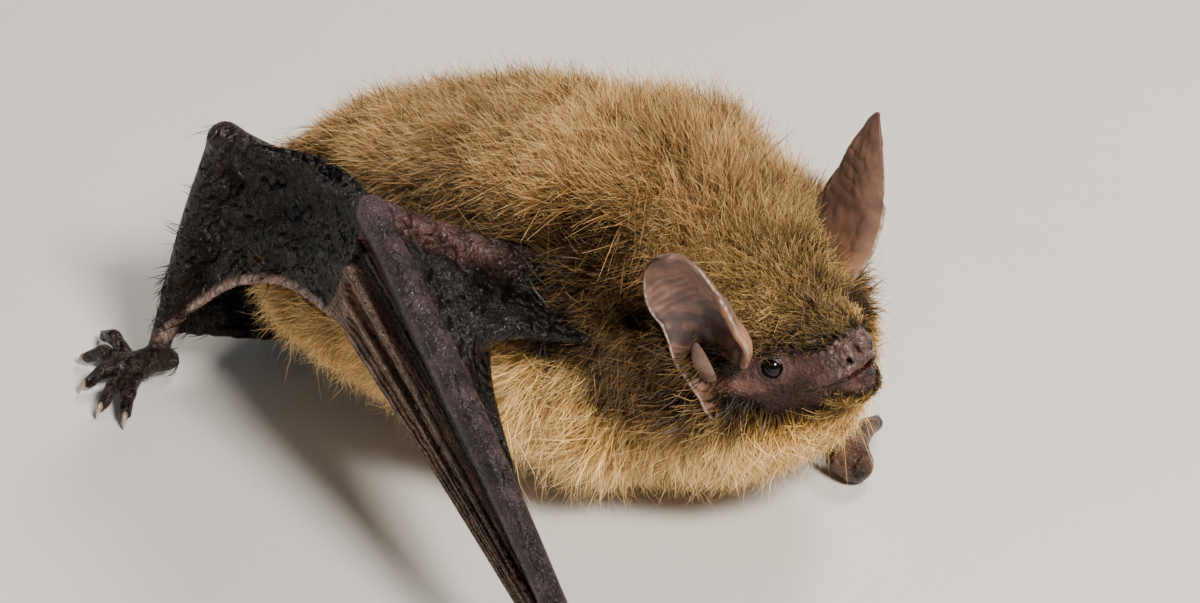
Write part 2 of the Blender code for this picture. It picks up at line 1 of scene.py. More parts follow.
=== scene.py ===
# %% [markdown]
# # A mouse-eared bat at life size
# The bat crouches on its wrists and feet with folded wings. Two things make it look alive: one
# unbroken skin over flesh and bones, and a coat of over 300,000 hairs that lie in tufts. The
# solid model gives the frame and the outer limits. Only the longest hairs stand clearly past it.

# %% Load the frame
import math

import bmesh
import bpy
import numpy as np
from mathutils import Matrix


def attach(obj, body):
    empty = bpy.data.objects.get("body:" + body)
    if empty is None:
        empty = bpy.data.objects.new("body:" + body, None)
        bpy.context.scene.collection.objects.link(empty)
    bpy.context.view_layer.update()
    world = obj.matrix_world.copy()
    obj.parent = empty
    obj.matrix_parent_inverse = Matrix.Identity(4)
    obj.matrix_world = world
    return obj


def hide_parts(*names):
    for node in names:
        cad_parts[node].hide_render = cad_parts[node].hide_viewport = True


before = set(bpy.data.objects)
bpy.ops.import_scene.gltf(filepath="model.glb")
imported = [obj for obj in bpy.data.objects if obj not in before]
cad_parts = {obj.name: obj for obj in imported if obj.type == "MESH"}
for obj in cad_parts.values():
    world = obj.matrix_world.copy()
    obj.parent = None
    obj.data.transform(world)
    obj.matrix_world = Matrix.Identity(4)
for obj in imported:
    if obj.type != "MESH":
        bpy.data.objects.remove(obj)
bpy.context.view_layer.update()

import openvdb as vdb
from mathutils import Matrix, Vector
from mathutils.kdtree import KDTree

print("frame nodes", len(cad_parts))

# %% [markdown]
# All lengths below are in millimetres, because a bat is small, and they turn into metres only
# when a mesh is made. The head has its own axes: x to the nose, y to the bat's left, z up.

# %% Units and the head's axes
MM = 0.001
RIGHT, LEFT = -1, 1
HEAD_AT = np.array([17.5, -1.9, 12.7])
HEAD_TURN = np.array(
    Matrix.Rotation(math.radians(-21), 3, "Z")
    @ Matrix.Rotation(math.radians(-20), 3, "Y")
    @ Matrix.Rotation(math.radians(11), 3, "X")
)


def head_point(x, y, z):
    return HEAD_AT + HEAD_TURN @ np.array([x, y, z], float)


def in_head(points):
    """Points of the body, in the head's own axes."""
    return (points - HEAD_AT) @ HEAD_TURN


def unit(v):
    v = np.asarray(v, float)
    return v / np.maximum(np.linalg.norm(v, axis=-1, keepdims=True), 1e-9)


def ease(low, high, x):
    """0 below low, 1 above high, and a soft step between them."""
    t = np.clip((x - low) / (high - low), 0, 1)
    return t * t * (3 - 2 * t)


# %% [markdown]
# Natural things are uneven at every size. A smooth, wandering number for each point of space
# gives that. It is a sum of a few waves with random directions, and the seed fixes them, so that
# the bat comes out the same each time.

# %% A smooth wandering number
def wander(points, size, seed, waves=14):
    """About -1 to 1, and it changes over roughly this size in millimetres."""
    rng = np.random.default_rng(seed)
    ways = unit(rng.normal(size=(waves, 3))) * (2 * np.pi / size) * rng.uniform(0.6, 1.5, (waves, 1))
    starts = rng.uniform(0, 2 * np.pi, waves)
    total = np.zeros(len(points))
    for way, start in zip(ways, starts):
        total += np.sin(points @ way + start)
    return total / math.sqrt(waves)


# %% [markdown]
# ## The skin
# Sculptors often build an animal from simple masses and then smooth them into each other. Here
# each mass is a formula that says how far a point is from its surface. The distances are kept on
# a fine grid of points, and two masses join softly where both distances are small. One closed
# surface is then drawn where the distance is zero, so no seam shows anywhere.

# %% The grid of distances
VOXEL = 0.18
GRID_LOW = np.array([-31.0, -35.0, -0.9])
GRID_COUNT = np.ceil((np.array([32.0, 32.5, 28.5]) - GRID_LOW) / VOXEL).astype(int)
flesh = np.full(GRID_COUNT, 6.0, np.float32)


def region(low, high):
    """The part of the grid between two corners, and the x, y and z of its points."""
    first = np.clip(((np.array(low) - GRID_LOW) / VOXEL).astype(int), 0, GRID_COUNT - 1)
    last = np.clip(((np.array(high) - GRID_LOW) / VOXEL).astype(int) + 2, 1, GRID_COUNT)
    places = [
        (GRID_LOW[i] + VOXEL * np.arange(first[i], last[i])).astype(np.float32) for i in range(3)
    ]
    part = tuple(slice(a, b) for a, b in zip(first, last))
    return part, places[0][:, None, None], places[1][None, :, None], places[2][None, None, :]


def soft_min(a, b, blend):
    h = np.clip(0.5 + 0.5 * (b - a) / blend, 0, 1)
    return b + (a - b) * h - blend * h * (1 - h)


def add_mass(part, distance, blend):
    flesh[part] = soft_min(flesh[part], distance, blend)


print("grid", GRID_COUNT, "points")

# %% [markdown]
# Trunk and head are each a row of rounded rings, like the hoops of a barrel. Under the coat the
# skin lies deeper than the outline of the fur, by the depth of the coat at that place: three
# millimetres on the back, one under the belly, and nothing on the bare muzzle.

# %% Rings of the trunk and the skull
# Each row: how far along, height of its middle, half its width, half its height.
TRUNK = [
    (-17.6, 10.2, 1.3, 1.3), (-16.4, 10.2, 3.6, 3.2), (-14.0, 10.4, 5.6, 4.9),
    (-9.5, 10.6, 7.3, 6.7), (-5.0, 11.1, 8.6, 7.9), (0.8, 10.7, 9.3, 9.7),
    (6.6, 11.8, 9.2, 8.8), (10.0, 11.6, 8.5, 8.3),
]
SKULL = [
    (-2.6, 0.1, 6.4, 6.3), (-0.6, -0.2, 6.2, 6.1), (1.1, -0.7, 5.6, 5.6),
    (2.5, -1.25, 4.45, 5.0), (3.9, -1.35, 3.3, 3.75), (5.5, -1.3, 2.5, 2.85),
    (7.2, -1.15, 1.95, 2.15), (8.1, -1.0, 1.1, 1.2),
]


def smooth_rings(rows):
    """The same rings at many places along, eased so that no hoop shows."""
    rows = np.array(rows)
    along = np.linspace(rows[0, 0], rows[-1, 0], 240)
    table = [np.interp(along, rows[:, 0], rows[:, k]) for k in (1, 2, 3)]
    kernel = np.hanning(25)
    kernel /= kernel.sum()
    eased = [np.convolve(np.pad(t, 12, mode="reflect", reflect_type="odd"), kernel, "valid") for t in table]
    return along, eased


def barrel(x, y, z, rings, squareness=2.2):
    """Distance from a row of rings, for points with these x, y and z."""
    along, (height, width, rise) = rings
    middle = np.interp(x, along, height)
    half_y = np.interp(x, along, width)
    half_z = np.interp(x, along, rise)
    q = (np.abs(y / half_y) ** squareness + np.abs((z - middle) / half_z) ** squareness)
    side = (q ** (1 / squareness) - 1) * np.minimum(half_y, half_z)
    end = np.maximum(along[0] - x, x - along[-1])
    outside = np.hypot(np.maximum(side, 0), np.maximum(end, 0))
    return outside + np.minimum(np.maximum(side, end), 0)


TRUNK_RINGS, SKULL_RINGS = smooth_rings(TRUNK), smooth_rings(SKULL)


def to_head(x, y, z):
    """Head axes of grid points, as three arrays."""
    dx, dy, dz = x - HEAD_AT[0], y - HEAD_AT[1], z - HEAD_AT[2]
    return tuple(dx * HEAD_TURN[0, i] + dy * HEAD_TURN[1, i] + dz * HEAD_TURN[2, i] for i in range(3))


# %% [markdown]
# The neck joins two tubes that point in different directions. A few egg shapes, turned step by
# step from the one direction to the other, fill it without a crease.

# %% Trunk and neck
part, x, y, z = region((-19, -12, 0), (12, 12, 24))
add_mass(part, barrel(x, y, z, TRUNK_RINGS), 0.01)


def neck_distance(x, y, z):
    """Eggs from the shoulders to the back of the skull, joined softly."""
    total = None
    start = np.array([8.5, 0.0, 11.7])
    finish = head_point(-1.5, 0, 0.0)
    turn = Matrix(HEAD_TURN).to_quaternion()
    for share in (0.0, 0.25, 0.5, 0.75, 1.0):
        axes = np.array(Matrix.Identity(3).to_quaternion().slerp(turn, share).to_matrix())
        middle = start + (finish - start) * share
        halves = np.array([3.4, 8.9, 8.3]) * (1 - share) + np.array([3.4, 6.5, 6.3]) * share
        offset = [x - middle[0], y - middle[1], z - middle[2]]
        local = [sum(offset[i] * axes[i, k] for i in range(3)) / halves[k] for k in range(3)]
        egg = (np.sqrt(local[0] ** 2 + local[1] ** 2 + local[2] ** 2) - 1) * halves.min()
        total = egg if total is None else soft_min(total, egg, 1.0)
    return total


part, x, y, z = region((4, -13, 0), (22, 12, 24))
add_mass(part, neck_distance(x, y, z), 1.6)

# %% [markdown]
# ## The head
# A mouse-eared bat has a short blunt muzzle with a swelling on each side, in front of small eyes
# sunk in dark bare skin. The nose ends in a grainy pad with a slit of a nostril on each side,
# above a mouth that stands a little open. Each of these is one more small mass, added or carved.

# %% Shapes for the face
def egg(x, y, z, middle, halves, way=(1, 0, 0)):
    """Distance from an egg, its first axis turned to a direction."""
    first = unit(way)
    second = unit(np.cross((0, 0, 1.0), first))
    third = np.cross(first, second)
    offset = [x - middle[0], y - middle[1], z - middle[2]]
    total = 0
    for axis, half in zip((first, second, third), halves):
        total = total + (sum(offset[i] * axis[i] for i in range(3)) / half) ** 2
    return (np.sqrt(total) - 1) * min(halves)


def carve(distance, hollow, blend):
    return -soft_min(-distance, hollow, blend)


EYE_WAY = unit([0.50, 0.84, 0.12])
EYE_SKIN = np.array([3.98, 3.28, -0.12])  # middle of the opening, for the left eye
EYE_RADIUS = 0.74
EYE_MIDDLE = EYE_SKIN - EYE_WAY * 0.34


def lid_ring(x, y, z, middle, way, radius, tube):
    offset = [x - middle[0], y - middle[1], z - middle[2]]
    height = sum(offset[i] * way[i] for i in range(3))
    across = np.sqrt(np.maximum(sum(o * o for o in offset) - height ** 2, 0))
    return np.hypot(across - radius, height) - tube


# Each row: middle, half sizes, way of the first axis, and how softly it joins.
FACE_MASSES = [
    ((5.5, 1.35, 0.05), (1.6, 0.95, 0.9), (1, -0.25, 0.1), 0.5),  # swelling of the muzzle
    ((5.3, 1.9, -1.5), (1.5, 0.75, 1.0), (1, -0.3, 0), 0.5),  # cheek
    ((3.2, 2.3, 0.9), (1.4, 0.8, 0.6), (1, 0.3, 0), 0.6),  # brow
    ((7.75, 0.62, -0.35), (0.85, 0.72, 0.85), (1, 0.5, 0), 0.25),  # side of the nose
    ((7.95, 0, -0.75), (0.62, 0.5, 0.6), (1, 0, 0), 0.3),  # middle of the nose
    ((6.9, 0.0, -3.05), (1.25, 1.25, 0.75), (1, 0, 0.15), 0.5),  # chin
]


# %% The face, as one formula
def face_distance(x, y, z):
    """The whole head without ears, for points in the head's own axes."""
    y = np.abs(y)  # both sides alike
    face = barrel(x, y, z, SKULL_RINGS, 2.1)
    for middle, halves, way, blend in FACE_MASSES:
        face = soft_min(face, egg(x, y, z, middle, halves, way), blend)
    face = carve(face, egg(x, y, z, (8.55, 0, 0.0), (0.6, 0.13, 0.9)), 0.15)
    nostril = egg(x, y, z, (8.35, 0.92, -0.62), (0.55, 0.17, 0.27), (0.8, 0.5, 0.1))
    face = carve(face, nostril, 0.12)
    face = soft_min(face, lid_ring(x, y, z, (8.28, 1.0, -0.62), unit([0.75, 0.62, 0.05]), 0.36, 0.07), 0.12)
    mouth = np.maximum(np.abs(z + 1.78 - 0.10 * (x - 8)) - 0.07 * ease(5.6, 8.2, x), 5.3 - x)
    face = carve(face, np.maximum(mouth, -(face + 0.15)), 0.10)
    gape = egg(x, y, z, (8.15, 0.75, -1.72), (0.62, 0.6, 0.17), (1, 0.5, 0))
    face = carve(face, gape, 0.1)
    face = soft_min(face, egg(x, y, z, EYE_SKIN - EYE_WAY * 0.45, (0.75, 0.95, 0.9), EYE_WAY), 0.5)
    face = soft_min(face, lid_ring(x, y, z, EYE_SKIN + EYE_WAY * 0.02, EYE_WAY, 0.69, 0.12), 0.16)
    face = soft_min(face, lid_ring(x, y, z, EYE_SKIN - EYE_WAY * 0.06, EYE_WAY, 1.05, 0.06), 0.2)
    eye = EYE_MIDDLE
    hollow = np.sqrt((x - eye[0]) ** 2 + (y - eye[1]) ** 2 + (z - eye[2]) ** 2) - EYE_RADIUS - 0.02
    tunnel = lid_ring(x, y, z, EYE_SKIN, EYE_WAY, 0.0, 0.57)
    return carve(carve(face, hollow, 0.04), tunnel, 0.06)


part, x, y, z = region((9, -12, 1), (28, 8, 24))
add_mass(part, face_distance(*to_head(x, y, z)), 1.2)
print("head volume points", int((flesh[part] < 0).sum()))

# %% [markdown]
# ## Arms, fingers, legs and tail
# A wing is a hand: an upper arm, a long forearm, a short hooked thumb and fingers as long as the
# forearm, which fold back beside it. Each bone with its flesh is a tapered rod along a smooth
# line. A rod can be flatter one way, as the forearm is.

# %% Tapered rods
def curve_through(points, count):
    """A smooth line through a few points, as count points."""
    points = np.asarray(points, float)
    padded = np.vstack([2 * points[0] - points[1], points, 2 * points[-1] - points[-2]])
    spans = len(points) - 1
    places = np.linspace(0, spans, count)
    k = np.minimum(places.astype(int), spans - 1)
    t = (places - k)[:, None]
    a, b, c, d = (padded[k + i] for i in range(4))
    square, cube = 2 * a - 5 * b + 4 * c - d, 3 * b - a - 3 * c + d
    return 0.5 * (2 * b + (c - a) * t + square * t ** 2 + cube * t ** 3)


def rod(path, radii, blend=0.5, steps=14, flat=None, thin=1.0):
    """Adds a rod to the flesh. flat is the direction in which it is thinner."""
    line = curve_through(path, steps)
    thick = np.interp(np.linspace(0, 1, steps), np.linspace(0, 1, len(radii)), radii)
    reach = thick.max() + blend + 0.6
    part, x, y, z = region(line.min(0) - reach, line.max(0) + reach)
    total = np.full(np.broadcast_shapes(x.shape, y.shape, z.shape), 9.0, np.float32)
    for a, b, r0, r1 in zip(line[:-1], line[1:], thick[:-1], thick[1:]):
        ab = b - a
        along = ((x - a[0]) * ab[0] + (y - a[1]) * ab[1] + (z - a[2]) * ab[2]) / (ab @ ab)
        along = np.clip(along, 0, 1)
        off = [x - a[0] - along * ab[0], y - a[1] - along * ab[1], z - a[2] - along * ab[2]]
        square = off[0] ** 2 + off[1] ** 2 + off[2] ** 2
        if flat is not None:
            square = square + (off[0] * flat[0] + off[1] * flat[1] + off[2] * flat[2]) ** 2 * (thin ** -2 - 1)
        np.minimum(total, np.sqrt(square) - (r0 + (r1 - r0) * along), out=total)
    add_mass(part, total, blend)


# %% Where the joints are
SHOULDER = {RIGHT: (8.2, -6.0, 14.6), LEFT: (8.0, 6.0, 12.5)}
ELBOW = {RIGHT: (-2.4, -14.4, 22.0), LEFT: (-9.0, 18.5, 11.0)}
WRIST = {RIGHT: (23.3, -31.2, 1.5), LEFT: (20.6, 3.6, 1.5)}
KNUCKLES = {
    RIGHT: [(-3.6, -15.4, 18.2), (-3.6, -15.6, 16.2), (-3.3, -15.6, 14.0)],
    LEFT: [(-9.4, 18.9, 8.6), (-9.4, 19.3, 7.0), (-9.0, 19.7, 5.2)],
}
THUMB_TIP = {RIGHT: (29.8, -32.6, 0.9), LEFT: (20.4, 9.0, 0.9)}
HIP = {RIGHT: (-12.0, -3.5, 12.5), LEFT: (-12.0, 4.5, 11.0)}
KNEE = {RIGHT: (-19.4, -3.8, 17.0), LEFT: (-19.9, 7.2, 10.0)}
ANKLE = {RIGHT: (-23.2, -6.9, 2.0), LEFT: (-20.0, 22.0, 2.0)}
TOE_TIPS = {
    RIGHT: [(-29.0, -5.0), (-28.6, -8.2), (-26.6, -11.2), (-24.0, -13.2), (-21.8, -13.4)],
    LEFT: [(-26.4, 24.8), (-25.2, 27.6), (-22.6, 29.4), (-19.6, 29.6), (-17.2, 28.0)],
}
TAIL = [
    (-15.4, 0.0, 9.0), (-18.6, 0.2, 6.4), (-20.0, 0.4, 3.6),
    (-18.4, 0.9, 1.5), (-12.5, 0.9, 1.1), (-6.5, 0.6, 0.9),
]
JOINTS = {
    name: {side: np.array(place[side], float) for side in (RIGHT, LEFT)}
    for name, place in dict(
        shoulder=SHOULDER, elbow=ELBOW, wrist=WRIST, thumb=THUMB_TIP, hip=HIP, knee=KNEE, ankle=ANKLE
    ).items()
}


def joint(name, side):
    return JOINTS[name][side]


def joints(side, names):
    """Several joints of one side, named in one line of words."""
    return [joint(name, side) for name in names.split()]


# %% Arms
def wing_out(side):
    """The way out of the folded wing, square to its plane."""
    elbow, wrist = joint("elbow", side), joint("wrist", side)
    out = unit(np.cross(elbow - wrist, np.array(KNUCKLES[side][2]) - wrist))
    return out * np.sign(out[1] * side)


finger_lines, arm_lines = {}, {}
for side in (RIGHT, LEFT):
    shoulder, elbow, wrist = joints(side, "shoulder elbow wrist")
    out = wing_out(side)
    along = unit(wrist - elbow)
    rod([shoulder, elbow + (shoulder - elbow) * 0.5, elbow], (1.9, 1.35, 1.0, 1.0), 1.0)
    inward = unit(np.cross(along, out))
    inward = inward * np.sign(inward @ (elbow - np.array(KNUCKLES[side][2])))
    bend = elbow + (wrist - elbow) * 0.52 + out * 0.25 + inward * 0.75
    arm_lines[side] = curve_through([elbow, bend, wrist - along * 0.6], 24)
    rod([elbow, bend, wrist - along * 0.6], (0.95, 1.15, 1.1, 0.98, 0.88, 0.82, 0.85), 0.35, 20, out, 0.9)
    rod([elbow - along * 0.35 + (0, 0, 0.1), elbow + along * 1.0], (0.62, 0.8), 0.4)
    rod([wrist - along * 0.8, wrist + along * 0.9], (1.1, 1.35, 1.2), 0.5)
    for i, radius in enumerate((0.26, 0.26, 0.36)):
        knuckle = np.array(KNUCKLES[side][i], float)
        way = unit(knuckle - wrist)
        root = wrist + way * 1.0 + np.array([0, 0, 0.5 - 0.35 * i])
        middle = (root + knuckle) / 2 + out * (0.15 - 0.1 * i)
        finger_lines[side, i] = curve_through([root, middle, knuckle], 24)
        rod([root, middle, knuckle], (radius * 1.2, radius, radius * 0.9, radius * 1.25), 0.3, 12)
        tip = knuckle + (wrist - knuckle) * 0.30 - out * 0.75 + np.array([0, 0, -0.1])
        rod([knuckle, knuckle - out * 0.4 + along * 0.8, tip], (radius, radius * 0.75, radius * 0.6), 0.25, 8)

# %% [markdown]
# The thumb is free of the wing skin. It curves forward from the wrist onto the ground and bears
# the bat's weight, so it is stout, with a pad under its root.

# %% Thumbs
for side in (RIGHT, LEFT):
    wrist, tip = joint("wrist", side), joint("thumb", side)
    way = unit(tip - wrist)
    rise = np.array([0, 0, 1.0])
    rod([wrist, wrist + way * 2.6 + rise * 0.5, wrist + way * 4.6 + rise * 0.1], (1.15, 0.8, 0.62, 0.5), 0.5)
    rod([wrist + way * 1.0 - rise * 0.5, wrist + way * 2.2 - rise * 0.7], (0.85, 0.6), 0.4)

# %% Legs, feet and toes
foot_claws = []
for side in (RIGHT, LEFT):
    hip, knee, ankle = joints(side, "hip knee ankle")
    rod([hip, (hip + knee) / 2 + (0, 0, 0.3), knee], (3.0, 2.3, 1.5, 1.05), 1.0)
    rod([knee, (knee + ankle) / 2 + (-0.3, 0, 0), ankle], (1.05, 0.95, 0.75, 0.72), 0.5)
    tips = np.array([(*tip, 0.4) for tip in TOE_TIPS[side]])
    middle = tips.mean(0)
    ball_of_foot = ankle + (middle - ankle) * 0.42
    ball_of_foot[2] = 1.05
    heel = ankle - (middle - ankle) * 0.12
    heel[2] = 1.15
    arch = (heel + ball_of_foot) / 2 + (0, 0, 0.2)
    rod([heel, arch, ball_of_foot], (0.8, 0.95, 1.15), 0.5, flat=(0, 0, 1), thin=0.85)
    across = unit(tips[-1] - tips[0])
    for i, tip in enumerate(tips):
        root = ball_of_foot + across * (i - 2) * 0.6
        root[2] = 0.95
        knuckle = root + (tip - root) * 0.5
        knuckle[2] = 1.35
        end = root + (tip - root) * 0.80
        end[2] = 0.72
        rod([root, knuckle, end], (0.5, 0.46, 0.42, 0.40), 0.3, 8)
        rod([knuckle, knuckle + (0, 0, 0.05)], (0.5, 0.5), 0.25, 3)
        foot_claws.append((end, tip))
rod(TAIL, (1.5, 1.1, 0.85, 0.72, 0.62, 0.45), 0.7, 24)
print("toes", len(foot_claws))

# %% [markdown]
# ## The wing skin
# Between arm, fingers, body and leg hangs skin thinner than paper. Each stretch is ruled between
# two edge lines, bowed a little, and pleated where the wing is folded. It is first made as a thin
# closed sheet. OpenVDB then measures the distance to it, so that it can join the flesh softly.

# %% A stretched sheet of skin
def rim_of(index):
    """Pairs of points round the rim of a double sheet, and the next pair of each."""
    rim = np.concatenate([
        index[:, :-1, 0].T, index[:, -1, :-1].T, index[:, :0:-1, -1].T, index[:, 0, :0:-1].T])
    return rim, np.roll(rim, -1, 0)


def sheet(edge_a, edge_b, bows=((0, 0, 0),), pleats=None, thickness=0.34, blend=0.35, rows=70, columns=48):
    """Skin between two lines of points. pleats(u, v) gives how far it stands off, along its normal."""
    u, v = np.meshgrid(np.linspace(0, 1, rows), np.linspace(0, 1, columns), indexing="ij")
    first, last = curve_through(edge_a, rows)[:, None], curve_through(edge_b, rows)[:, None]
    spots = np.linspace(0, 1, len(bows)) if len(bows) > 1 else np.array([0.0])
    bow = np.stack([np.interp(u, spots, [b[k] for b in bows]) for k in range(3)], -1)
    place = first * (1 - v[..., None]) + last * v[..., None] + bow * np.sin(np.pi * v)[..., None]
    normal = unit(np.cross(np.gradient(place, axis=0), np.gradient(place, axis=1)))
    if pleats is not None:
        place = place + normal * pleats(u, v)[..., None]
        normal = unit(np.cross(np.gradient(place, axis=0), np.gradient(place, axis=1)))
    sides = np.stack([place - normal * thickness / 2, place + normal * thickness / 2])
    index = np.arange(sides[..., 0].size).reshape(sides.shape[:3])
    faces = []
    for k, turn in ((0, 1), (1, -1)):
        a = index[k]
        quad = np.stack([a[:-1, :-1], a[1:, :-1], a[1:, 1:], a[:-1, 1:]], -1).reshape(-1, 4)
        faces.append(quad[:, ::turn])
    rim, after = rim_of(index)
    faces.append(np.stack([rim[:, 0], rim[:, 1], after[:, 1], after[:, 0]], -1))
    points = (sides.reshape(-1, 3) - GRID_LOW).astype(np.float32)
    level = vdb.FloatGrid.createLevelSetFromPolygons(
        points, quads=np.concatenate(faces).astype(np.uint32),
        transform=vdb.createLinearTransform(voxelSize=VOXEL), halfWidth=5.0)
    low = np.maximum(((points.min(0)) / VOXEL).astype(int) - 6, 0)
    high = np.minimum((points.max(0) / VOXEL).astype(int) + 7, GRID_COUNT)
    distance = np.full(high - low, 1.0, np.float32)
    level.copyToArray(distance, ijk=tuple(int(i) for i in low))
    part = tuple(slice(a, b) for a, b in zip(low, high))
    add_mass(part, distance, blend)
    return place


# %% Folds that each stretch keeps
def loose(u, v, size, seed, across=1.0):
    """Soft hollows and swellings, longer one way than the other."""
    points = np.stack([u * 9 / size, v * 9 * across / size, np.zeros_like(u)], -1).reshape(-1, 3)
    return wander(points, 1.0, seed).reshape(u.shape)


def hand_pleats(u, v):
    fine = np.sin(v * 40 + 2.2 * np.sin(u * 5)) * 0.10 + np.sin(v * 23 + 3 * u) * 0.12
    return (fine + 0.10 * loose(u, v, 5, 3)) * np.sin(np.pi * v) ** 0.5


def slack(u, v):
    return 0.13 * loose(u, v, 4, 5) * np.sin(np.pi * v) ** 0.5


def crumpled(u, v):
    return (0.24 * loose(u, v, 3, 8) + 0.13 * loose(u, v, 1.1, 9)) * np.sin(np.pi * v) ** 0.5


# %% The stretches of skin
NECK_EDGE = {RIGHT: (10.4, -10.9, 15.0), LEFT: (9.5, 10.9, 12.0)}
FREE_CORNER = {RIGHT: (4.8, -13.2, 14.2), LEFT: (6.0, 12.9, 9.6)}
BEHIND_BOWS = {RIGHT: [(-1.0, 2.5, 2.2), (0.6, 3.2, -0.6)], LEFT: [(0.0, 0.5, 1.0), (0.0, -1.5, 0.0)]}
behind_arm = {}
for side in (RIGHT, LEFT):
    shoulder, elbow, wrist, hip, knee, ankle = joints(side, "shoulder elbow wrist hip knee ankle")
    out = wing_out(side)
    knuckles = [np.array(p, float) for p in KNUCKLES[side]]

    def part_way(a, b, share):
        return a + (b - a) * share

    inner = [part_way(knuckles[2], wrist, s) - out * d
             for s, d in ((-0.06, 0.05), (0.3, 0.15), (0.6, 0.15), (0.93, 0.2))]
    arm = [part_way(elbow, wrist, s) - out * d
           for s, d in ((-0.01, 0.0), (0.35, 0.3), (0.65, 0.3), (0.93, 0.3))]
    sheet(inner, arm, [out * 0.0, out * -0.35, out * -0.35], hand_pleats, 0.36, 0.25, 90, 70)
    corner = np.array(FREE_CORNER[side])
    sheet(
        [part_way(elbow, wrist, s) for s in (0.03, 0.10, 0.18, 0.34, 0.58)],
        [part_way(elbow, shoulder, 0.3), shoulder, NECK_EDGE[side], corner,
         part_way(elbow, wrist, 0.62) + (0.3, 0.35, 0.8)],
        pleats=slack, blend=0.5)
    behind_arm[side] = sheet(
        [ankle + (0, 0, 0.9), part_way(ankle, knee, 0.35), part_way(ankle, knee, 0.7), knee],
        [knuckles[2], knuckles[1], knuckles[0], elbow],
        BEHIND_BOWS[side], crumpled, 0.36, 0.4)
    sheet(
        [part_way(elbow, (-6, 8.6 * side, 15.5), 0.1),
         part_way(elbow, knee, 0.5) + (0, -0.8 * side, 0.4), knee],
        [(-2.0, 9.2 * side, 15.6), (-9.0, 7.4 * side, 13.8), part_way(hip, knee, 0.3)],
        pleats=crumpled, thickness=0.4, blend=0.9)
    sheet(
        [part_way(ankle, knee, 0.08), part_way(ankle, knee, 0.5), part_way(knee, hip, 0.25)],
        [TAIL[4], TAIL[3], TAIL[1]], pleats=crumpled, blend=0.5)
print("flesh points", int((flesh < 0).sum()))

# %% [markdown]
# ## From distances to a surface
# The bat stands on a floor, so whatever would reach below it is cut level. OpenVDB then lays a
# net of small squares where the distance is zero.

# %% Draw the surface
part, x, y, z = region(GRID_LOW, GRID_LOW + VOXEL * (GRID_COUNT - 1))
np.maximum(flesh, 0.02 - z, out=flesh)
grid = vdb.FloatGrid(background=6.0)
grid.copyFromArray(flesh, tolerance=0)
points, triangles, quads = grid.convertToPolygons(isovalue=0.0, adaptivity=0.0)
points = points * VOXEL + GRID_LOW
print("skin points", len(points), "squares", len(quads), "triangles", len(triangles))


# %% Make a mesh from arrays
def make_mesh(name, points, faces):
    """faces is a list of arrays, each with one count of corners."""
    mesh = bpy.data.meshes.new(name)
    mesh.vertices.add(len(points))
    mesh.vertices.foreach_set("co", np.asarray(points * MM, np.float32).ravel())
    corners = np.concatenate([f.ravel() for f in faces]).astype(np.int32)
    counts = np.concatenate([np.full(len(f), f.shape[1]) for f in faces])
    mesh.loops.add(len(corners))
    mesh.loops.foreach_set("vertex_index", corners)
    mesh.polygons.add(len(counts))
    mesh.polygons.foreach_set("loop_start", np.concatenate([[0], np.cumsum(counts)[:-1]]).astype(np.int32))
    mesh.polygons.foreach_set("use_smooth", np.ones(len(counts), bool))
    mesh.update(calc_edges=True)
    return mesh


def ints(items, field):
    """One whole number for each face or corner of a mesh."""
    values = np.empty(len(items), np.int32)
    items.foreach_get(field, values)
    return values


def put(name, data):
    """Puts a mesh, lamp or camera into the scene."""
    made = bpy.data.objects.new(name, data)
    bpy.context.scene.collection.objects.link(made)
    return made


def positions(mesh):
    """The points of a mesh in millimetres."""
    flat = np.empty(len(mesh.vertices) * 3, np.float32)
    mesh.vertices.foreach_get("co", flat)
    return flat.reshape(-1, 3).astype(float) / MM


faces = [np.asarray(quads)[:, ::-1]]
if len(triangles):
    faces.append(np.asarray(triangles)[:, ::-1])
skin_mesh = make_mesh("skin", points, faces)

# %% [markdown]
# The head gets the most care. Its part of the net is divided twice more, and each new point
# slides along the slope of the face's formula until it lies exactly on the surface. So the lids,
# nostrils and lips come out sharper than the first net could hold them.

# %% Refine the face
def face_only(points):
    x, y, z = in_head(points).T
    return face_distance(x, y, z)


def slide_to(points, formula, rounds=4, step=0.01):
    for _ in range(rounds):
        here = formula(points)
        slope = np.stack([
            (formula(points + step * e) - formula(points - step * e)) / (2 * step) for e in np.eye(3)], -1)
        size = np.maximum((slope ** 2).sum(-1), 0.05)
        points = points - slope * np.clip(here / size, -0.15, 0.15)[:, None]
    return points


bm = bmesh.new()
bm.from_mesh(skin_mesh)
for _ in range(2):
    bm.verts.ensure_lookup_table()
    place = np.array([v.co for v in bm.verts]) / MM
    local = in_head(place)
    near = (local[:, 0] > 2.3) & (np.abs(local[:, 2] + 1.2) < 4.2) & (np.abs(local[:, 1]) < 5)
    near &= np.abs(face_only(place)) < 0.2
    edges = [e for e in bm.edges if near[e.verts[0].index] and near[e.verts[1].index]]
    bmesh.ops.subdivide_edges(bm, edges=edges, cuts=1, use_grid_fill=True)
    bm.verts.index_update()
bm.to_mesh(skin_mesh)
bm.free()
place = positions(skin_mesh)
local = in_head(place)
near = (local[:, 0] > 2.5) & (np.abs(local[:, 2] + 1.2) < 4.2) & (np.abs(local[:, 1]) < 5)
near &= np.abs(face_only(place)) < 0.2
place[near] = slide_to(place[near], face_only)
skin_mesh.vertices.foreach_set("co", np.asarray(place * MM, np.float32).ravel())
print("face points", int(near.sum()), "of", len(place))

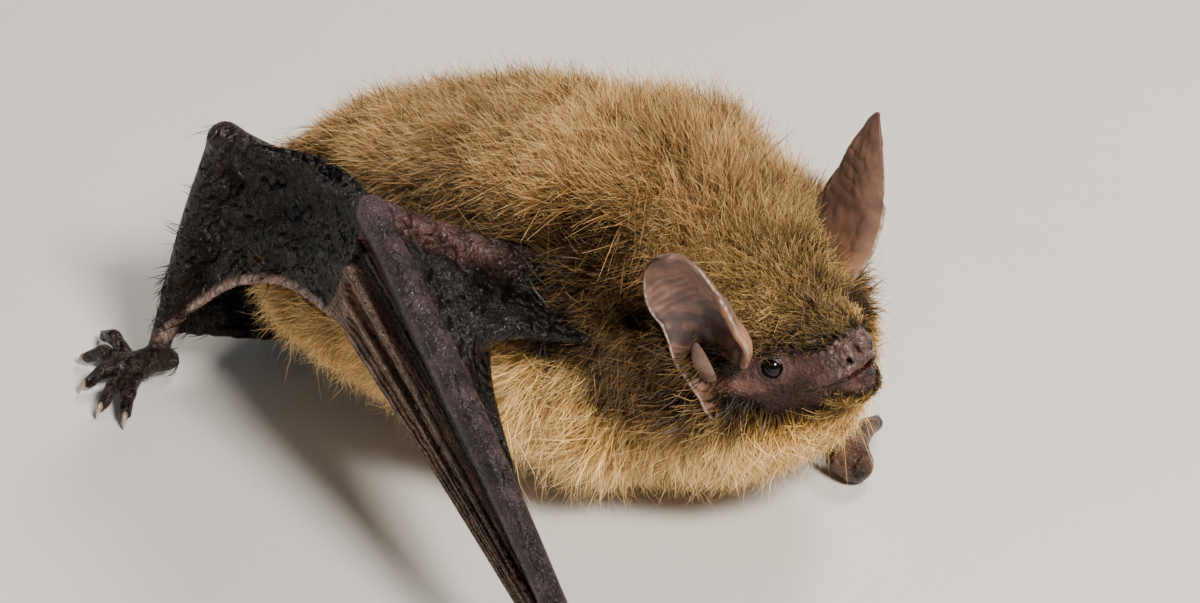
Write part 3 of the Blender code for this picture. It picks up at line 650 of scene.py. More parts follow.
# %% [markdown]
# ## The ears
# Each ear is a tall thin leaf, rolled about its length, with a blunt tip. Its front edge is
# doubled into a soft lip low down, pale cross ridges stiffen its back half, and a small pointed
# blade, the tragus, stands in its mouth. A leaf like this is drawn best by its own two
# directions, u across it and v up it, so it is made as a fine sheet whose foot is buried in the
# head's fur, and then becomes part of the same skin.

# %% The leaf of an ear
EAR_LENGTH = 12.7
RIDGE_EVERY = 0.80
EAR_WAY = {RIGHT: (0.36, -0.27, 0.89), LEFT: (0.48, 0.25, 0.84)}
EAR_OPENS = {RIGHT: (0.45, -0.89, 0.0), LEFT: (0.25, 0.97, 0.0)}
EAR_FOOT = {RIGHT: (1.5, -6.5, 1.0), LEFT: (1.2, 6.6, 0.6)}
# Half the width at seven places from foot to tip, and how far each height is pushed over.
EAR_WIDTH = {RIGHT: [3.1, 3.9, 3.5, 3.15, 2.65, 2.0, 1.2], LEFT: [3.2, 3.8, 3.6, 3.0, 2.2, 1.3, 0.4]}
EAR_HEIGHTS = [-0.02, 0.18, 0.38, 0.59, 0.89, 1.0]
EAR_PUSH = {
    RIGHT: [(0.6, 0.6, 0.75), (1.1, 0.6, 0.3), (0.75, 0.4, 0.2),
            (0.45, 0.25, -0.1), (-0.1, 0.15, -0.5), (0.4, 0.15, -0.2)],
    LEFT: [(-1.7, -0.9, 0.4), (-1.4, -0.75, 0.33), (-0.65, -0.45, 0),
           (-0.1, -0.1, 0), (-0.4, -0.1, 0.1), (-0.9, -0.2, 0.2)],
}
EAR_SLOPE = {RIGHT: 0.24, LEFT: -0.10}
EAR_FLAP = {RIGHT: 0.55, LEFT: 0.3}


def ear_frame(side):
    """Foot of the ear, the way it grows, the way across it to its back edge, and the way it opens."""
    way = unit(HEAD_TURN @ np.array(EAR_WAY[side]))
    opens = HEAD_TURN @ np.array(EAR_OPENS[side])
    opens = unit(opens - way * (opens @ way))
    return head_point(*EAR_FOOT[side]), way, np.cross(way, opens) * side, opens


def ear_leaf(side, rows=120, columns=88):
    """Points of the leaf's inner and outer face, with u from front edge to back edge."""
    v, u = np.meshgrid(np.linspace(-0.12, 1, rows), np.linspace(-1, 1, columns), indexing="ij")
    foot, way, across, opens = ear_frame(side)
    spots = np.linspace(0, 1, 7)
    half = np.interp(v, np.linspace(0, 1, 60), np.array(curve_through(
        np.stack([spots, EAR_WIDTH[side], 0 * spots], 1), 60))[:, 1])
    half = half * np.sqrt(np.clip(1 - ((v - 0.86) / 0.14).clip(0) ** 2.4, 0.0006, 1))
    bend = 1.25 * (1 - 0.55 * v.clip(0))
    radius = half / bend
    angle = u * bend
    lift = radius * (1 - np.cos(angle)) - radius * 0.5
    lean = -0.9 * (1 - v) ** 2 * (u + 0.2) - 0.7 * v ** 2
    low = ease(0.66, 0.48, v) * ease(-0.02, 0.10, v)
    lip = np.exp(-((u + 0.90) / 0.085) ** 2) * low * 0.42 - np.exp(-((u + 0.74) / 0.08) ** 2) * low * 0.16
    bars = v * EAR_LENGTH / RIDGE_EVERY - 0.55 * (u - 0.35) ** 2
    ridges = (0.5 + 0.5 * np.cos(2 * np.pi * bars)) ** 3 * ease(0.42, 0.55, v) * ease(0.86, 0.76, v)
    ridges = ridges * ease(-0.45, -0.1, u) * ease(1.0, 0.8, u)
    spine = np.exp(-((u - 0.25 - 0.2 * v) / 0.10) ** 2) * ease(0.75, 0.3, v) * 0.12
    flat = np.stack([u * 4, v * 9, 0 * u], -1).reshape(-1, 3)
    soft = (0.09 * wander(flat, 3.0, 31 + side) + 0.03 * wander(flat, 0.9, 33)).reshape(u.shape)
    curl = 0.35 * ease(0.75, 1.0, u) * np.sin(v * 9 + 1) * ease(0, 0.3, v)
    out = lift + lip + ridges * 0.055 + spine + (soft + curl) * ease(1.0, 0.8, v)
    sideways = radius * np.sin(angle)
    push = np.stack([np.interp(v, EAR_HEIGHTS, [p[k] for p in EAR_PUSH[side]]) for k in range(3)], -1)
    tuck = (ease(0.17, 0.0, v) * ease(-0.35, -0.95, u))[..., None] * np.array([-1.5, 1.2 * -side, -0.9])
    low_back = (ease(0.17, -0.06, v) * ease(0.1, 0.9, u))[..., None] * EAR_FLAP[side]
    flap = low_back * np.array([1.0, 1.2 * side, -2.2])
    middle = (foot + way * (EAR_LENGTH * v - 1.0 - EAR_SLOPE[side] * sideways)[..., None]
              + across * (sideways + lean)[..., None] + opens * out[..., None]
              + (push + tuck + flap) @ HEAD_TURN.T)
    normal = unit(np.cross(np.gradient(middle, axis=0), np.gradient(middle, axis=1)))
    normal = normal * np.sign((normal * opens).sum(-1, keepdims=True))
    thick = (0.07 + 0.11 * ease(1.0, 0.85, np.abs(u)) + 0.10 * low * ease(-0.7, -0.9, u))[..., None]
    return u, v, middle + normal * thick, middle - normal * thick, ridges


# %% Close the leaf and make the tragus
def closed_leaf(front, back, flip):
    """Faces over two grids of points and round their rim."""
    rows, columns = front.shape[:2]
    index = np.arange(rows * columns * 2).reshape(2, rows, columns)
    a, b = index
    faces = [
        np.stack([a[:-1, :-1], a[:-1, 1:], a[1:, 1:], a[1:, :-1]], -1).reshape(-1, 4),
        np.stack([b[:-1, :-1], b[1:, :-1], b[1:, 1:], b[:-1, 1:]], -1).reshape(-1, 4),
    ]
    rim, after = rim_of(index)
    faces.append(np.stack([rim[:, 0], after[:, 0], after[:, 1], rim[:, 1]], -1))
    faces = np.concatenate(faces)
    points = np.concatenate([front.reshape(-1, 3), back.reshape(-1, 3)])
    return points, faces[:, ::-1] if flip else faces


BLADE_SIDES = 14


def blade(line, widths, thick, wide_way, sides=BLADE_SIDES):
    """A flat tapered blade along a line, as points and faces."""
    line = np.asarray(line, float)
    way = unit(np.gradient(line, axis=0))
    wide = unit(wide_way - way * (way @ wide_way)[:, None])
    deep = np.cross(way, wide)
    angle = np.linspace(0, 2 * np.pi, sides, endpoint=False)
    rings = (line[:, None] + wide[:, None] * (np.cos(angle) * np.asarray(widths)[:, None])[..., None]
             + deep[:, None] * (np.sin(angle) * np.asarray(thick)[:, None])[..., None])
    count = len(line)
    index = np.arange(count * sides).reshape(count, sides)
    after = np.roll(index, -1, 1)
    quads = np.stack([index[:-1], after[:-1], after[1:], index[1:]], -1).reshape(-1, 4)
    return rings.reshape(-1, 3), quads


TRAGUS = {}
ear_parts = []
for side in (RIGHT, LEFT):
    u, v, inner, outer, ridges = ear_leaf(side)
    ear_points, ear_faces = closed_leaf(inner, outer, side == RIGHT)
    zone = np.concatenate([
        np.stack([u, v, ridges * k, np.full_like(u, k)], -1).reshape(-1, 4) for k in (1, 0)])
    ear_parts.append((ear_points, ear_faces, zone))
    foot, way, across, opens = ear_frame(side)
    root = head_point(1.5, 6.0 * side, 0.5)
    tip = head_point(2.8, 6.8 * side, 3.7)
    TRAGUS[side] = curve_through([root, (root + tip) / 2 + opens * 0.25, tip], 30)
    t = np.linspace(0, 1, 30)
    widths = 0.64 * (1 - t ** 2.2) ** 0.6 * (0.75 + 0.5 * np.sin(t * 2.4)) * 0.85 + 0.02
    blade_points, blade_faces = blade(TRAGUS[side], widths, 0.16 * (1 - t) ** 0.5 + 0.05, across)
    zone = np.zeros((len(blade_points), 4))
    zone[:, 1] = np.repeat(t, BLADE_SIDES)
    zone[:, 3] = 2
    ear_parts.append((blade_points, blade_faces, zone))
print("ear points", [len(p[0]) for p in ear_parts])

# %% [markdown]
# Flesh and ears now go into one mesh. A small note stays with each point, saying which part it
# belongs to and where on the ear it lies, for the colours.

# %% One skin
net = positions(skin_mesh)
starts, totals = ints(skin_mesh.polygons, "loop_start"), ints(skin_mesh.polygons, "loop_total")
corners = ints(skin_mesh.loops, "vertex_index")
all_faces = [corners[starts[totals == k][:, None] + np.arange(k)] for k in np.unique(totals)]
all_points, zones = [net], [np.full((len(net), 4), -1.0)]
for part_points, part_faces, zone in ear_parts:
    all_faces.append(part_faces + sum(len(p) for p in all_points))
    all_points.append(part_points)
    zones.append(zone)
skin_points, skin_zones = np.concatenate(all_points), np.concatenate(zones)
old = skin_mesh
skin_mesh = make_mesh("skin", skin_points, all_faces)
bpy.data.meshes.remove(old)
skin = put("skin", skin_mesh)
is_ear = skin_zones[:, 3] >= 0
print("skin faces", len(skin_mesh.polygons))

# %% [markdown]
# ## Markings
# Skin and coat share one set of markings, each a soft formula of the place on the body: where
# the coat turns from brown to cream, where the face is bare, and where the fur parts and shows
# its dark roots. The same dark mark also holds painted shade: in the hollows by the ears, on
# the lower near flank and rump, over the near brow and in the neck crease.

# %% Where the body is
def body_depth(points):
    """Distance from the surface of trunk, neck and head, without limbs."""
    x, y, z = points.T
    trunk = barrel(x, y, z, TRUNK_RINGS)
    near_head = np.minimum(neck_distance(x, y, z), face_only(points))
    return np.minimum(trunk, near_head)


def body_normal(points, step=0.15):
    slope = np.stack([body_depth(points + step * e) - body_depth(points - step * e) for e in np.eye(3)], -1)
    return unit(slope)


def line_distance(points, line):
    """Distance of points from a line, and how far along it the nearest place is, from 0 to 1."""
    best = np.full(len(points), 1e9)
    share = np.zeros(len(points))
    for i, (a, b) in enumerate(zip(line[:-1], line[1:])):
        ab = b - a
        t = np.clip((points - a) @ ab / (ab @ ab), 0, 1)
        d = np.linalg.norm(points - a - t[:, None] * ab, axis=1)
        share = np.where(d < best, (i + t) / (len(line) - 1), share)
        best = np.minimum(best, d)
    return best, share


# %% Bare face, cream underside, dark partings and painted shade
JAW_EDGE = [1.4, 2.2, 3.0, 4.2, 5.6, 7.2, 8.0], [-0.8, -2.5, -3.7, -4.2, -3.7, -2.9, -2.9]


def bare_face(local):
    """1 on the bare skin of the muzzle and round the eyes, for points in head axes."""
    x, y, z = local.T
    rough = 0.22 * wander(local, 1.3, 51)
    top = np.interp(x, [1.6, 3.2, 5.0, 7.2, 7.9], [0.9, 1.25, 1.05, 0.55, 1.6])
    bottom = np.interp(x, *JAW_EDGE)
    sides = ease(-0.15, 0.25, top - z + rough) * ease(-0.2, 0.3, z - bottom + rough)
    return np.maximum(sides * ease(1.3, 2.1, x + rough), ease(7.45, 7.8, x) * ease(-3.5, -2.9, z))


# How high the cream reaches on the side, from rump to nose: places along, then heights.
CREAM_EDGE = (
    [-20, -10, 2, 6.5, 8.2, 9.8, 11.5, 13, 16, 30],
    [10.0, 10.3, 12.4, 13.5, 12.8, 10.8, 8.7, 7.5, 6.5, 6.5],
)


def cream(points):
    """1 on the pale underside, throat and cheeks, 0 on the brown back and crown."""
    local = in_head(points)
    x, y, z = points.T
    edge = np.interp(x, *CREAM_EDGE)
    trunk = ease(-1.2, 1.2, edge - z + 0.8 * wander(points, 4, 61))
    jaw = np.interp(local[:, 0], [-3, 0.7, 2.0, 3.5, 7.2], [-2.6, -3.2, -4.0, -4.7, -3.6])
    head = ease(-0.7, 0.7, jaw - local[:, 2] + 0.4 * wander(points, 3, 62))
    return trunk + (head - trunk) * ease(12, 15, x)


def in_ear_mouth(points):
    """1 inside the opening of an ear."""
    mouth = np.zeros(len(points))
    for side in (RIGHT, LEFT):
        foot, way, across, opens = ear_frame(side)
        offset = points - foot
        a, w, o = offset @ way, offset @ across, offset @ opens
        between = ease(-2.4, -1.8, a) * ease(2.5, 2.0, np.abs(w))
        mouth = np.maximum(mouth, between * ease(-1.0, -0.6, o) * ease(2.6, 2.0, o))
    return mouth


def wrapped(points):
    """1 where the wing's skin lies over the right flank, between thigh and elbow."""
    x, y, z = points.T
    rough = 0.35 * wander(points, 2.0, 63)
    top = np.interp(x, [-16, -10, -7, -4], [15.2, 16.8, 17.4, 17.5]) + rough
    low = np.interp(x, [-16, -9, -4], [10.2, 10.9, 11.5])
    across = ease(-19, -18.2, x) * ease(-3.4, -4.6, x) * ease(-0.6, -1.6, y)
    return across * ease(0.35, -0.35, z - top) * ease(-0.35, 0.35, z - low)


def blot(points, middle, size):
    return np.exp(-((points - np.array(middle)) ** 2).sum(-1) / (2 * size ** 2))


def parting_and_painted_shade(points):
    """1 where the fur is dark: where it parts and shows its dark base, and where shade is painted."""
    x, y, z = points.T
    # The large blots behind and below each ear are painted shade in the hollows there, where the fur also
    # parts. The two small ones on the upper flank are partings.
    dark = 2.2 * blot(points, (10.0, -9.2, 16.4), 2.6) + 2.2 * blot(points, (11.6, -9.2, 13.4), 2.3)
    dark += 0.9 * blot(points, (0.6, -8.6, 19.8), 0.6) + 0.9 * blot(points, (-5.0, -9.6, 18.2), 0.8)
    dark += 0.5 * blot(points, (11, 9.4, 14), 2.0)
    dark += 0.35 * blot(points, (15.0, -8.2, 8.8), 1.5) + 0.12 * blot(points, (16.9, -6.6, 9.6), 1.5)
    # The lower near flank above the wing is darker: partly painted shade, partly darker fur.
    flank = ease(-4.5, -6.5, y) * ease(21.2, 19.2, z) * ease(13, 9, x)
    dark += (0.86 + 0.12 * wander(points, 3, 64)) * flank * (1 - cream(points))
    # The lower edge of the rump on the near side is darker: painted shade.
    dark += 0.7 * ease(-6, -9, x) * ease(18.8, 17.0, z) * ease(-1, -3, y)
    dark += 0.20 * ease(3, -3, x) * ease(19, 21, z)
    local = in_head(points)
    # The near brow is made darker than the far one: painted shade.
    brow = 0.62 * ease(2.5, -0.5, local[:, 1]) * ease(2.8, 1.4, local[:, 2]) * ease(1.0, 2.5, local[:, 0])
    dark += brow * ease(14, 17, x) * ease(-0.5, 0.5, local[:, 2])
    dark -= 0.6 * ease(12.8, 11.2, z) * ease(9, 6, x)
    # The crease between shoulders and head is darker: painted shade, where the fur also parts.
    nape = ease(-6, -1.5, y) * ease(7.2, 8.2, x) * ease(10.2, 9.2, x) * ease(16, 18, z)
    dark += 0.45 * nape
    return np.clip(dark, 0, 1) * (1 - 0.85 * cream(points))

# %% [markdown]
# ## Colours of the bare skin
# Bare skin changes colour in soft steps: blue-black wing, purplish forearm, pinkish where blood
# shows through, grey on the nose. Painting by hand would do it. Here each colour is laid over
# the last with a soft mask made from the place on the body.

# %% Mix colours with masks
def tint(code):
    """A colour written as for the web, as the light it reflects."""
    value = np.array([int(code[i:i + 2], 16) / 255 for i in (1, 3, 5)])
    return np.where(value <= 0.04045, value / 12.92, ((value + 0.055) / 1.055) ** 2.4)


def lay(colours, code, mask):
    return colours + (tint(code) - colours) * np.clip(mask, 0, 1)[:, None]


def lay_all(colours, layers):
    """Lays a list of colours, each through its own mask, from first to last."""
    for code, mask in layers:
        colours = lay(colours, code, mask)
    return colours


flesh_points = skin_points[~is_ear]
local = in_head(flesh_points)
depth = body_depth(flesh_points)
body_share = ease(0.9, 0.15, depth)
mottle = wander(flesh_points, 2.2, 71)
speck = wander(flesh_points, 0.55, 72)
colours = np.tile(tint("#0C0908"), (len(flesh_points), 1))
colours = lay(colours, "#1A1310", 0.45 + 0.4 * mottle)
wet = np.full(len(flesh_points), 0.55)
pleated = np.zeros(len(flesh_points))
fold = np.zeros(len(flesh_points))

# %% Wings and legs
armed = np.zeros(len(flesh_points))
for side in (RIGHT, LEFT):
    shoulder, elbow, wrist, hip, knee, ankle = joints(side, "shoulder elbow wrist hip knee ankle")
    out = wing_out(side)
    along = unit(elbow - wrist)
    down = unit(np.cross(along, out))
    down = down * np.sign(down @ (np.array(KNUCKLES[side][2]) - elbow))
    offset = flesh_points - wrist
    run, drop, off = offset @ along, offset @ down, offset @ out
    angle = drop / np.maximum(run, 3)
    in_hand = (run > -1) & (run < np.linalg.norm(elbow - wrist) - 1.5) & (drop > -0.5) & (np.abs(off) < 1.3)
    hand = in_hand * ease(0.6, 1.6, drop - 0.02 * run)
    fold = np.where(in_hand, angle, fold)
    in_front = 0.55 * ease(-1.0, -1.8, drop) * ease(3.0, 1.5, np.abs(off)) * (run > 0) * ease(0.3, 1.2, depth)
    pleated = np.maximum(pleated, np.maximum(hand, in_front))
    fold = np.where((drop <= -0.5) & (np.abs(off) < 3) & (run > -1) & (depth > 0.2), angle * 0.6, fold)
    colours = lay(colours, "#6E5549", hand * 0.9)
    colours = lay(colours, "#A47F68", hand * ease(0.06, 0.15, angle) * (0.6 + 0.45 * mottle))
    colours = lay(colours, "#1E2129", hand * np.exp(-((angle - 0.075) / 0.022) ** 2) * 0.8)
    for i in range(3):
        d, t = line_distance(flesh_points, finger_lines[side, i])
        colours = lay(colours, "#5A4842", ease(0.5, 0.3, d) * (0.4 + 0.25 * speck))
    d, t = line_distance(flesh_points, arm_lines[side])
    arm = ease(1.5, 1.05, d) * ease(-0.4, 0.2, off + 0.6)
    colours = lay(colours, "#2B1E23", arm * (0.8 + 0.3 * mottle))
    wet = np.maximum(wet, 0.85 * arm)
    armed = np.maximum(armed, np.maximum(arm, hand))
    # Lighter flecks on the forearm: painted highlight.
    colours = lay(colours, "#61494F", arm * ease(0.0, 1.6, speck + mottle) * 0.35)
    d, t = line_distance(flesh_points, arm_lines[side] + down * 1.30)
    groove = ease(0.85, 0.4, d) * ease(-1.4, -0.8, off) * ease(1, 5, run)
    colours = lay(colours, "#47140F", groove * 0.95)
    d, t = line_distance(flesh_points, np.array([shoulder, elbow]))
    on_top = ease(-1, 0.2, flesh_points[:, 2] - 14 + t * 6)
    upper_arm = ease(1.5, 0.85, d) * ease(0.2, 0.5, t)
    colours = lay(colours, "#5A3C36", upper_arm * (0.75 + 0.3 * mottle) * on_top)
    d, t = line_distance(flesh_points, np.array([elbow + (0, 0, 0.6), elbow + along * 0.6 + (0, 0, 0.5)]))
    colours = lay(colours, "#43343A", ease(2.4, 0.8, d) * 0.8)
    wet = np.maximum(wet, ease(2.6, 0.9, d) * 0.95)
    d, t = line_distance(flesh_points, np.array([hip, knee, ankle]))
    colours = lay(colours, "#231914", ease(3.2, 1.8, d) * ease(0.1, 0.3, t) * ease(0.62, 0.5, t))
    on_knee = ease(1.6, 0.8, d) * ease(0.36, 0.45, t) * ease(0.6, 0.5, t)
    colours = lay(colours, "#3A2B25", on_knee * (0.4 + 0.4 * mottle))
    d, t = line_distance(flesh_points, behind_arm[side][0][::4])
    colours = lay(colours, "#C09C90", ease(0.75, 0.3, d) * (0.75 + 0.25 * speck) * ease(0.98, 0.9, t))
    d = np.linalg.norm(flesh_points - ankle, axis=1)
    colours = lay(colours, "#2A1F1A", ease(9, 5, d) * ease(3.5, 2.5, flesh_points[:, 2]))

wrist = joint("wrist", LEFT)
near_wrist = ease(5.5, 3.0, np.linalg.norm(flesh_points - wrist, axis=1))
colours = lay(colours, "#6E4A38", near_wrist * (0.65 + 0.3 * mottle))

# %% Face
bare = bare_face(local) * body_share
ear_mouth = in_ear_mouth(flesh_points) * body_share
face_x, face_y, face_z = local[:, 0], np.abs(local[:, 1]), local[:, 2]
near_head = ease(8, 6, np.linalg.norm(local - (3.5, 0, -1), axis=1))
under_coat = tint("#1E140C") + (tint("#4E3B22") - tint("#1E140C")) * cream(flesh_points)[:, None]
colours += (under_coat - colours) * (body_share * (1 - bare))[:, None]
flank = wrapped(flesh_points) * body_share
colours = lay_all(colours, [
    ("#120F0D", flank * 0.95),
    ("#331D19", bare * 0.97),
    ("#6A473A", ear_mouth * 0.9),
    ("#170A09", bare * 0.85 * ease(-0.3, 0.6, mottle + 0.5 * speck)),
    ("#6B4B40", bare * 0.5 * ease(0.3, 1.3, -mottle + 0.4 * speck)),
])


def near_face(middle, size):
    offset = np.stack([face_x, face_y, face_z], -1) - np.array(middle)
    return np.exp(-((offset / np.array(size)) ** 2).sum(-1)) * near_head


colours = lay_all(colours, [
    # A lighter patch on the side of the muzzle's swelling: painted highlight.
    ("#6B4A42", near_face((5.5, 2.0, -0.4), (1.3, 1.2, 0.9)) * 0.6 * bare),
    # A dark strip along the top of the muzzle, under the brow fur: painted shade.
    ("#170B0A", near_face((5.6, 1.6, 1.15), (1.9, 1.2, 0.35)) * 0.9),
    ("#3A1D18", near_face((4.6, 3.0, -2.8), (1.5, 1.2, 0.8)) * 0.6 * bare),
])
pad = ease(6.7, 8.0, face_x + 0.25 * speck) * near_head * ease(-1.7, -1.45, face_z)
colours = lay_all(colours, [
    ("#5F473F", pad * (0.72 + 0.3 * speck)),
    # Pale specks on the nose pad: partly its pale grain, partly painted glints.
    ("#B9A294", pad * ease(0.9, 1.9, speck + 0.6 * mottle) * 0.28),
    # Near-black inside the nostril hollow: painted shade.
    ("#0F0606", near_face((8.35, 0.95, -0.62), (0.5, 0.22, 0.26))),
    # The pale spot just under the nostril: painted highlight.
    ("#D8C8BE", near_face((8.3, 0.95, -1.03), (0.3, 0.24, 0.10)) * 0.8),
])
lips = near_face((8.2, 0.6, -1.72), (0.36, 0.5, 0.20))
colours = lay(colours, "#5E2110", lips * 0.9)
eye_offset = np.stack([face_x, face_y, face_z], -1) - EYE_SKIN
ring = np.linalg.norm(eye_offset, axis=1)
colours = lay_all(colours, [
    ("#4E3A37", ease(1.5, 0.9, ring) * near_head * 0.7),
    ("#474347", ease(0.95, 0.75, ring) * ease(0.1, 0.5, eye_offset[:, 2]) * near_head),
    ("#0D0909", ease(0.72, 0.60, ring) * near_head),
])
wet = np.clip(wet + lips + 1.0 * pad + 0.2 * bare + ease(0.8, 0.6, ring) * near_head, 0, 1)

# %% Ears
u, v, ridge, kind = skin_zones[is_ear].T
ear_points = skin_points[is_ear]
mottle = wander(ear_points, 1.8, 75)
speck = wander(ear_points, 0.5, 76)
leaf = np.tile(tint("#5C3D31"), (len(u), 1))
inside = (kind == 1).astype(float)
leaf = lay_all(leaf, [
    ("#77503C", ease(0.45, 0.75, v) * 0.75 * (0.8 + 0.4 * mottle)),
    ("#4C3B3D", inside * ease(0.65, 0.4, v) * ease(0.1, 0.3, v) * 0.8),
    ("#8F6A5E", inside * ease(0.25, 0.75, mottle) * ease(0.85, 0.5, v) * 0.5),
    ("#3A1411", inside * np.exp(-((v - 0.16) / 0.13) ** 2 - ((u + 0.15) / 0.5) ** 2) * 0.9),
    # Paler on the cross ridges: partly their own paler skin, partly painted highlight.
    ("#9A7264", inside * np.clip(ridge, 0, 1) * 0.4),
    ("#8A5A34", (kind != 2) * ease(-0.76, -0.88, u) * ease(0.66, 0.5, v) * 0.8),
    ("#4A3028", ease(0.86, 0.99, v) * (kind != 2) * 0.7),
])
rim = (kind != 2) * ease(0.955, 0.985, np.abs(u))
leaf = lay_all(leaf, [
    # The pale rim along the ear's edges: painted highlight.
    ("#C9B4A4", rim * (0.55 + 0.4 * speck) * ease(0.95, 0.8, v)),
    ("#54382C", (kind == 0) * 0.55),
    ("#A87650", (kind == 0) * ease(0.5, 0.2, v) * 0.75),
    ("#6E5344", (kind == 2) * ease(0.9, 0.4, v)),
    ("#5A4238", (kind == 2) * ease(0.55, 0.95, v)),
])
leaf *= (1 + 0.14 * mottle + 0.06 * speck)[:, None]


# %% Keep the notes on the skin
def note(mesh, name, values, kind="FLOAT"):
    """Keeps a number or colour for each point of a mesh."""
    values = np.asarray(values, np.float32)
    if kind == "FLOAT_COLOR":
        values = np.concatenate([values, np.ones((len(values), 1), np.float32)], 1)
    layer = mesh.attributes.new(name, kind, "POINT")
    layer.data.foreach_set("color" if kind == "FLOAT_COLOR" else "value", values.ravel())


def with_ears(flesh_values, ear_values):
    shape = (len(skin_points),) + np.shape(flesh_values)[1:]
    total = np.zeros(shape)
    total[~is_ear] = flesh_values
    total[is_ear] = ear_values
    return total


note(skin_mesh, "tint", np.clip(with_ears(colours, leaf), 0.001, 1), "FLOAT_COLOR")
note(skin_mesh, "wet", with_ears(wet, 0.15 * rim))
crinkled = (1 - bare) * (1 - armed) * ease(0.15, 0.5, depth + flank) + 0.22 * armed
flesh_notes = {"grain": pad, "pleated": pleated, "fold": fold, "bare": bare, "crinkled": crinkled}
for name, values in flesh_notes.items():
    note(skin_mesh, name, with_ears(values, 0 * u))
print("marked", len(skin_points), "points")

# %% [markdown]
# ## Materials
# A material is a small recipe of nodes. The notes on the mesh give the broad colours. Noise and
# cells add what is too fine for the mesh: pores, wrinkles, the parallel pleats of a folded wing
# and the grain of the nose.

# %% Node helpers
def recipe(name):
    """A new material, its nodes, its shader, and the place of each point on the piece."""
    material = bpy.data.materials.new(name)
    material.use_nodes = True
    tree = material.node_tree
    where = tree.nodes.new("ShaderNodeTexCoord").outputs["Object"]
    return material, tree, tree.nodes["Principled BSDF"], where


def node(tree, kind, **settings):
    made = tree.nodes.new(kind)
    for name, value in settings.items():
        if hasattr(made, name):
            setattr(made, name, value)
        else:
            made.inputs[name.replace("_", " ")].default_value = value
    return made


def wire(tree, source, target):
    tree.links.new(source, target)


def sums(tree, operation, a, b=0.5, clamp=False):
    """One step of arithmetic between two numbers or sockets."""
    made = node(tree, "ShaderNodeMath", operation=operation, use_clamp=clamp)
    for socket, value in zip(made.inputs, (a, b)):
        if isinstance(value, (int, float)):
            socket.default_value = value
        else:
            wire(tree, value, socket)
    return made.outputs[0]


def attribute(tree, name, output="Fac"):
    return node(tree, "ShaderNodeAttribute", attribute_name=name).outputs[output]


def noise(tree, where, scale, detail=3.0, roughness=0.55):
    made = node(tree, "ShaderNodeTexNoise", Scale=scale, Detail=detail, Roughness=roughness)
    wire(tree, where, made.inputs["Vector"])
    return made.outputs["Fac"]


def cells(tree, where, scale, feature="F1"):
    made = node(tree, "ShaderNodeTexVoronoi", Scale=scale, feature=feature)
    wire(tree, where, made.inputs["Vector"])
    return made.outputs["Distance"]


def bump(tree, height, distance, strength=1.0, base=None):
    made = node(tree, "ShaderNodeBump", Distance=distance, Strength=strength)
    wire(tree, height, made.inputs["Height"])
    if base is not None:
        wire(tree, base, made.inputs["Normal"])
    return made.outputs["Normal"]


def shaded(tree, colour, factor, low, high):
    """A colour made darker and lighter by a number from 0 to 1."""
    level = node(tree, "ShaderNodeMapRange", To_Min=low, To_Max=high)
    wire(tree, factor, level.inputs["Value"])
    made = node(tree, "ShaderNodeVectorMath", operation="SCALE")
    wire(tree, colour, made.inputs[0])
    wire(tree, level.outputs["Result"], made.inputs["Scale"])
    return made.outputs[0]


def mixed(tree, a, b, factor):
    """A colour between two, each given by its code or by a socket."""
    made = node(tree, "ShaderNodeMix", data_type="RGBA")
    for name, value in (("A", a), ("B", b)):
        if isinstance(value, str):
            made.inputs[name].default_value = (*tint(value), 1)
        else:
            wire(tree, value, made.inputs[name])
    wire(tree, factor, made.inputs["Factor"])
    return made.outputs["Result"]


# %% Skin of wings, legs and face
skin_stuff, tree, shader, where = recipe("bare_skin")
fine = noise(tree, where, 5200, 4)
broad = noise(tree, where, 900, 4)
crease = sums(tree, "ABSOLUTE", sums(tree, "SUBTRACT", noise(tree, where, 1700, 3), 0.5), 0.0)
small_crease = sums(tree, "ABSOLUTE", sums(tree, "SUBTRACT", noise(tree, where, 5200, 2), 0.5), 0.0)
pores = cells(tree, where, 6500)
grains = cells(tree, where, 4200)
colour = shaded(tree, attribute(tree, "tint", "Color"), fine, 0.62, 1.38)
colour = shaded(tree, colour, broad, 0.72, 1.28)
pleat = sums(tree, "MULTIPLY", attribute(tree, "fold"), 640.0)
pleat = sums(tree, "SINE", sums(tree, "ADD", pleat, sums(tree, "MULTIPLY", broad, 9.0)))
pleat = sums(tree, "MULTIPLY", pleat, attribute(tree, "pleated"))
# The pleats darken the colour in their hollows and lighten it on their crests: painted shade and highlight.
colour = shaded(tree, colour, sums(tree, "ADD", sums(tree, "MULTIPLY", pleat, 0.5), 0.5), 0.68, 1.32)
wire(tree, colour, shader.inputs["Base Color"])
large = sums(tree, "MINIMUM", sums(tree, "MULTIPLY", crease, 5.0), 0.5)
small = sums(tree, "MINIMUM", sums(tree, "MULTIPLY", small_crease, 3.0), 0.3)
height = sums(tree, "ADD", large, small)
height = sums(tree, "ADD", height, sums(tree, "MULTIPLY", pores, 0.35))
smooth_face = sums(tree, "SUBTRACT", 1.0, sums(tree, "MULTIPLY", attribute(tree, "bare"), 0.6))
normal = bump(tree, sums(tree, "MULTIPLY", height, smooth_face), 0.00019)
crinkle = sums(tree, "ABSOLUTE", sums(tree, "SUBTRACT", noise(tree, where, 560, 2, 0.5), 0.5), 0.0)
crinkle = sums(tree, "MINIMUM", sums(tree, "MULTIPLY", crinkle, 7.0), 0.9)
crinkle = sums(tree, "MULTIPLY", crinkle, attribute(tree, "crinkled"))
normal = bump(tree, crinkle, 0.00060, 1.0, normal)
normal = bump(tree, pleat, 0.00010, 1.0, normal)
normal = bump(tree, sums(tree, "MULTIPLY", grains, attribute(tree, "grain")), 0.00014, 1.0, normal)
normal = bump(tree, fine, 0.00003, 0.8, normal)
wire(tree, normal, shader.inputs["Normal"])
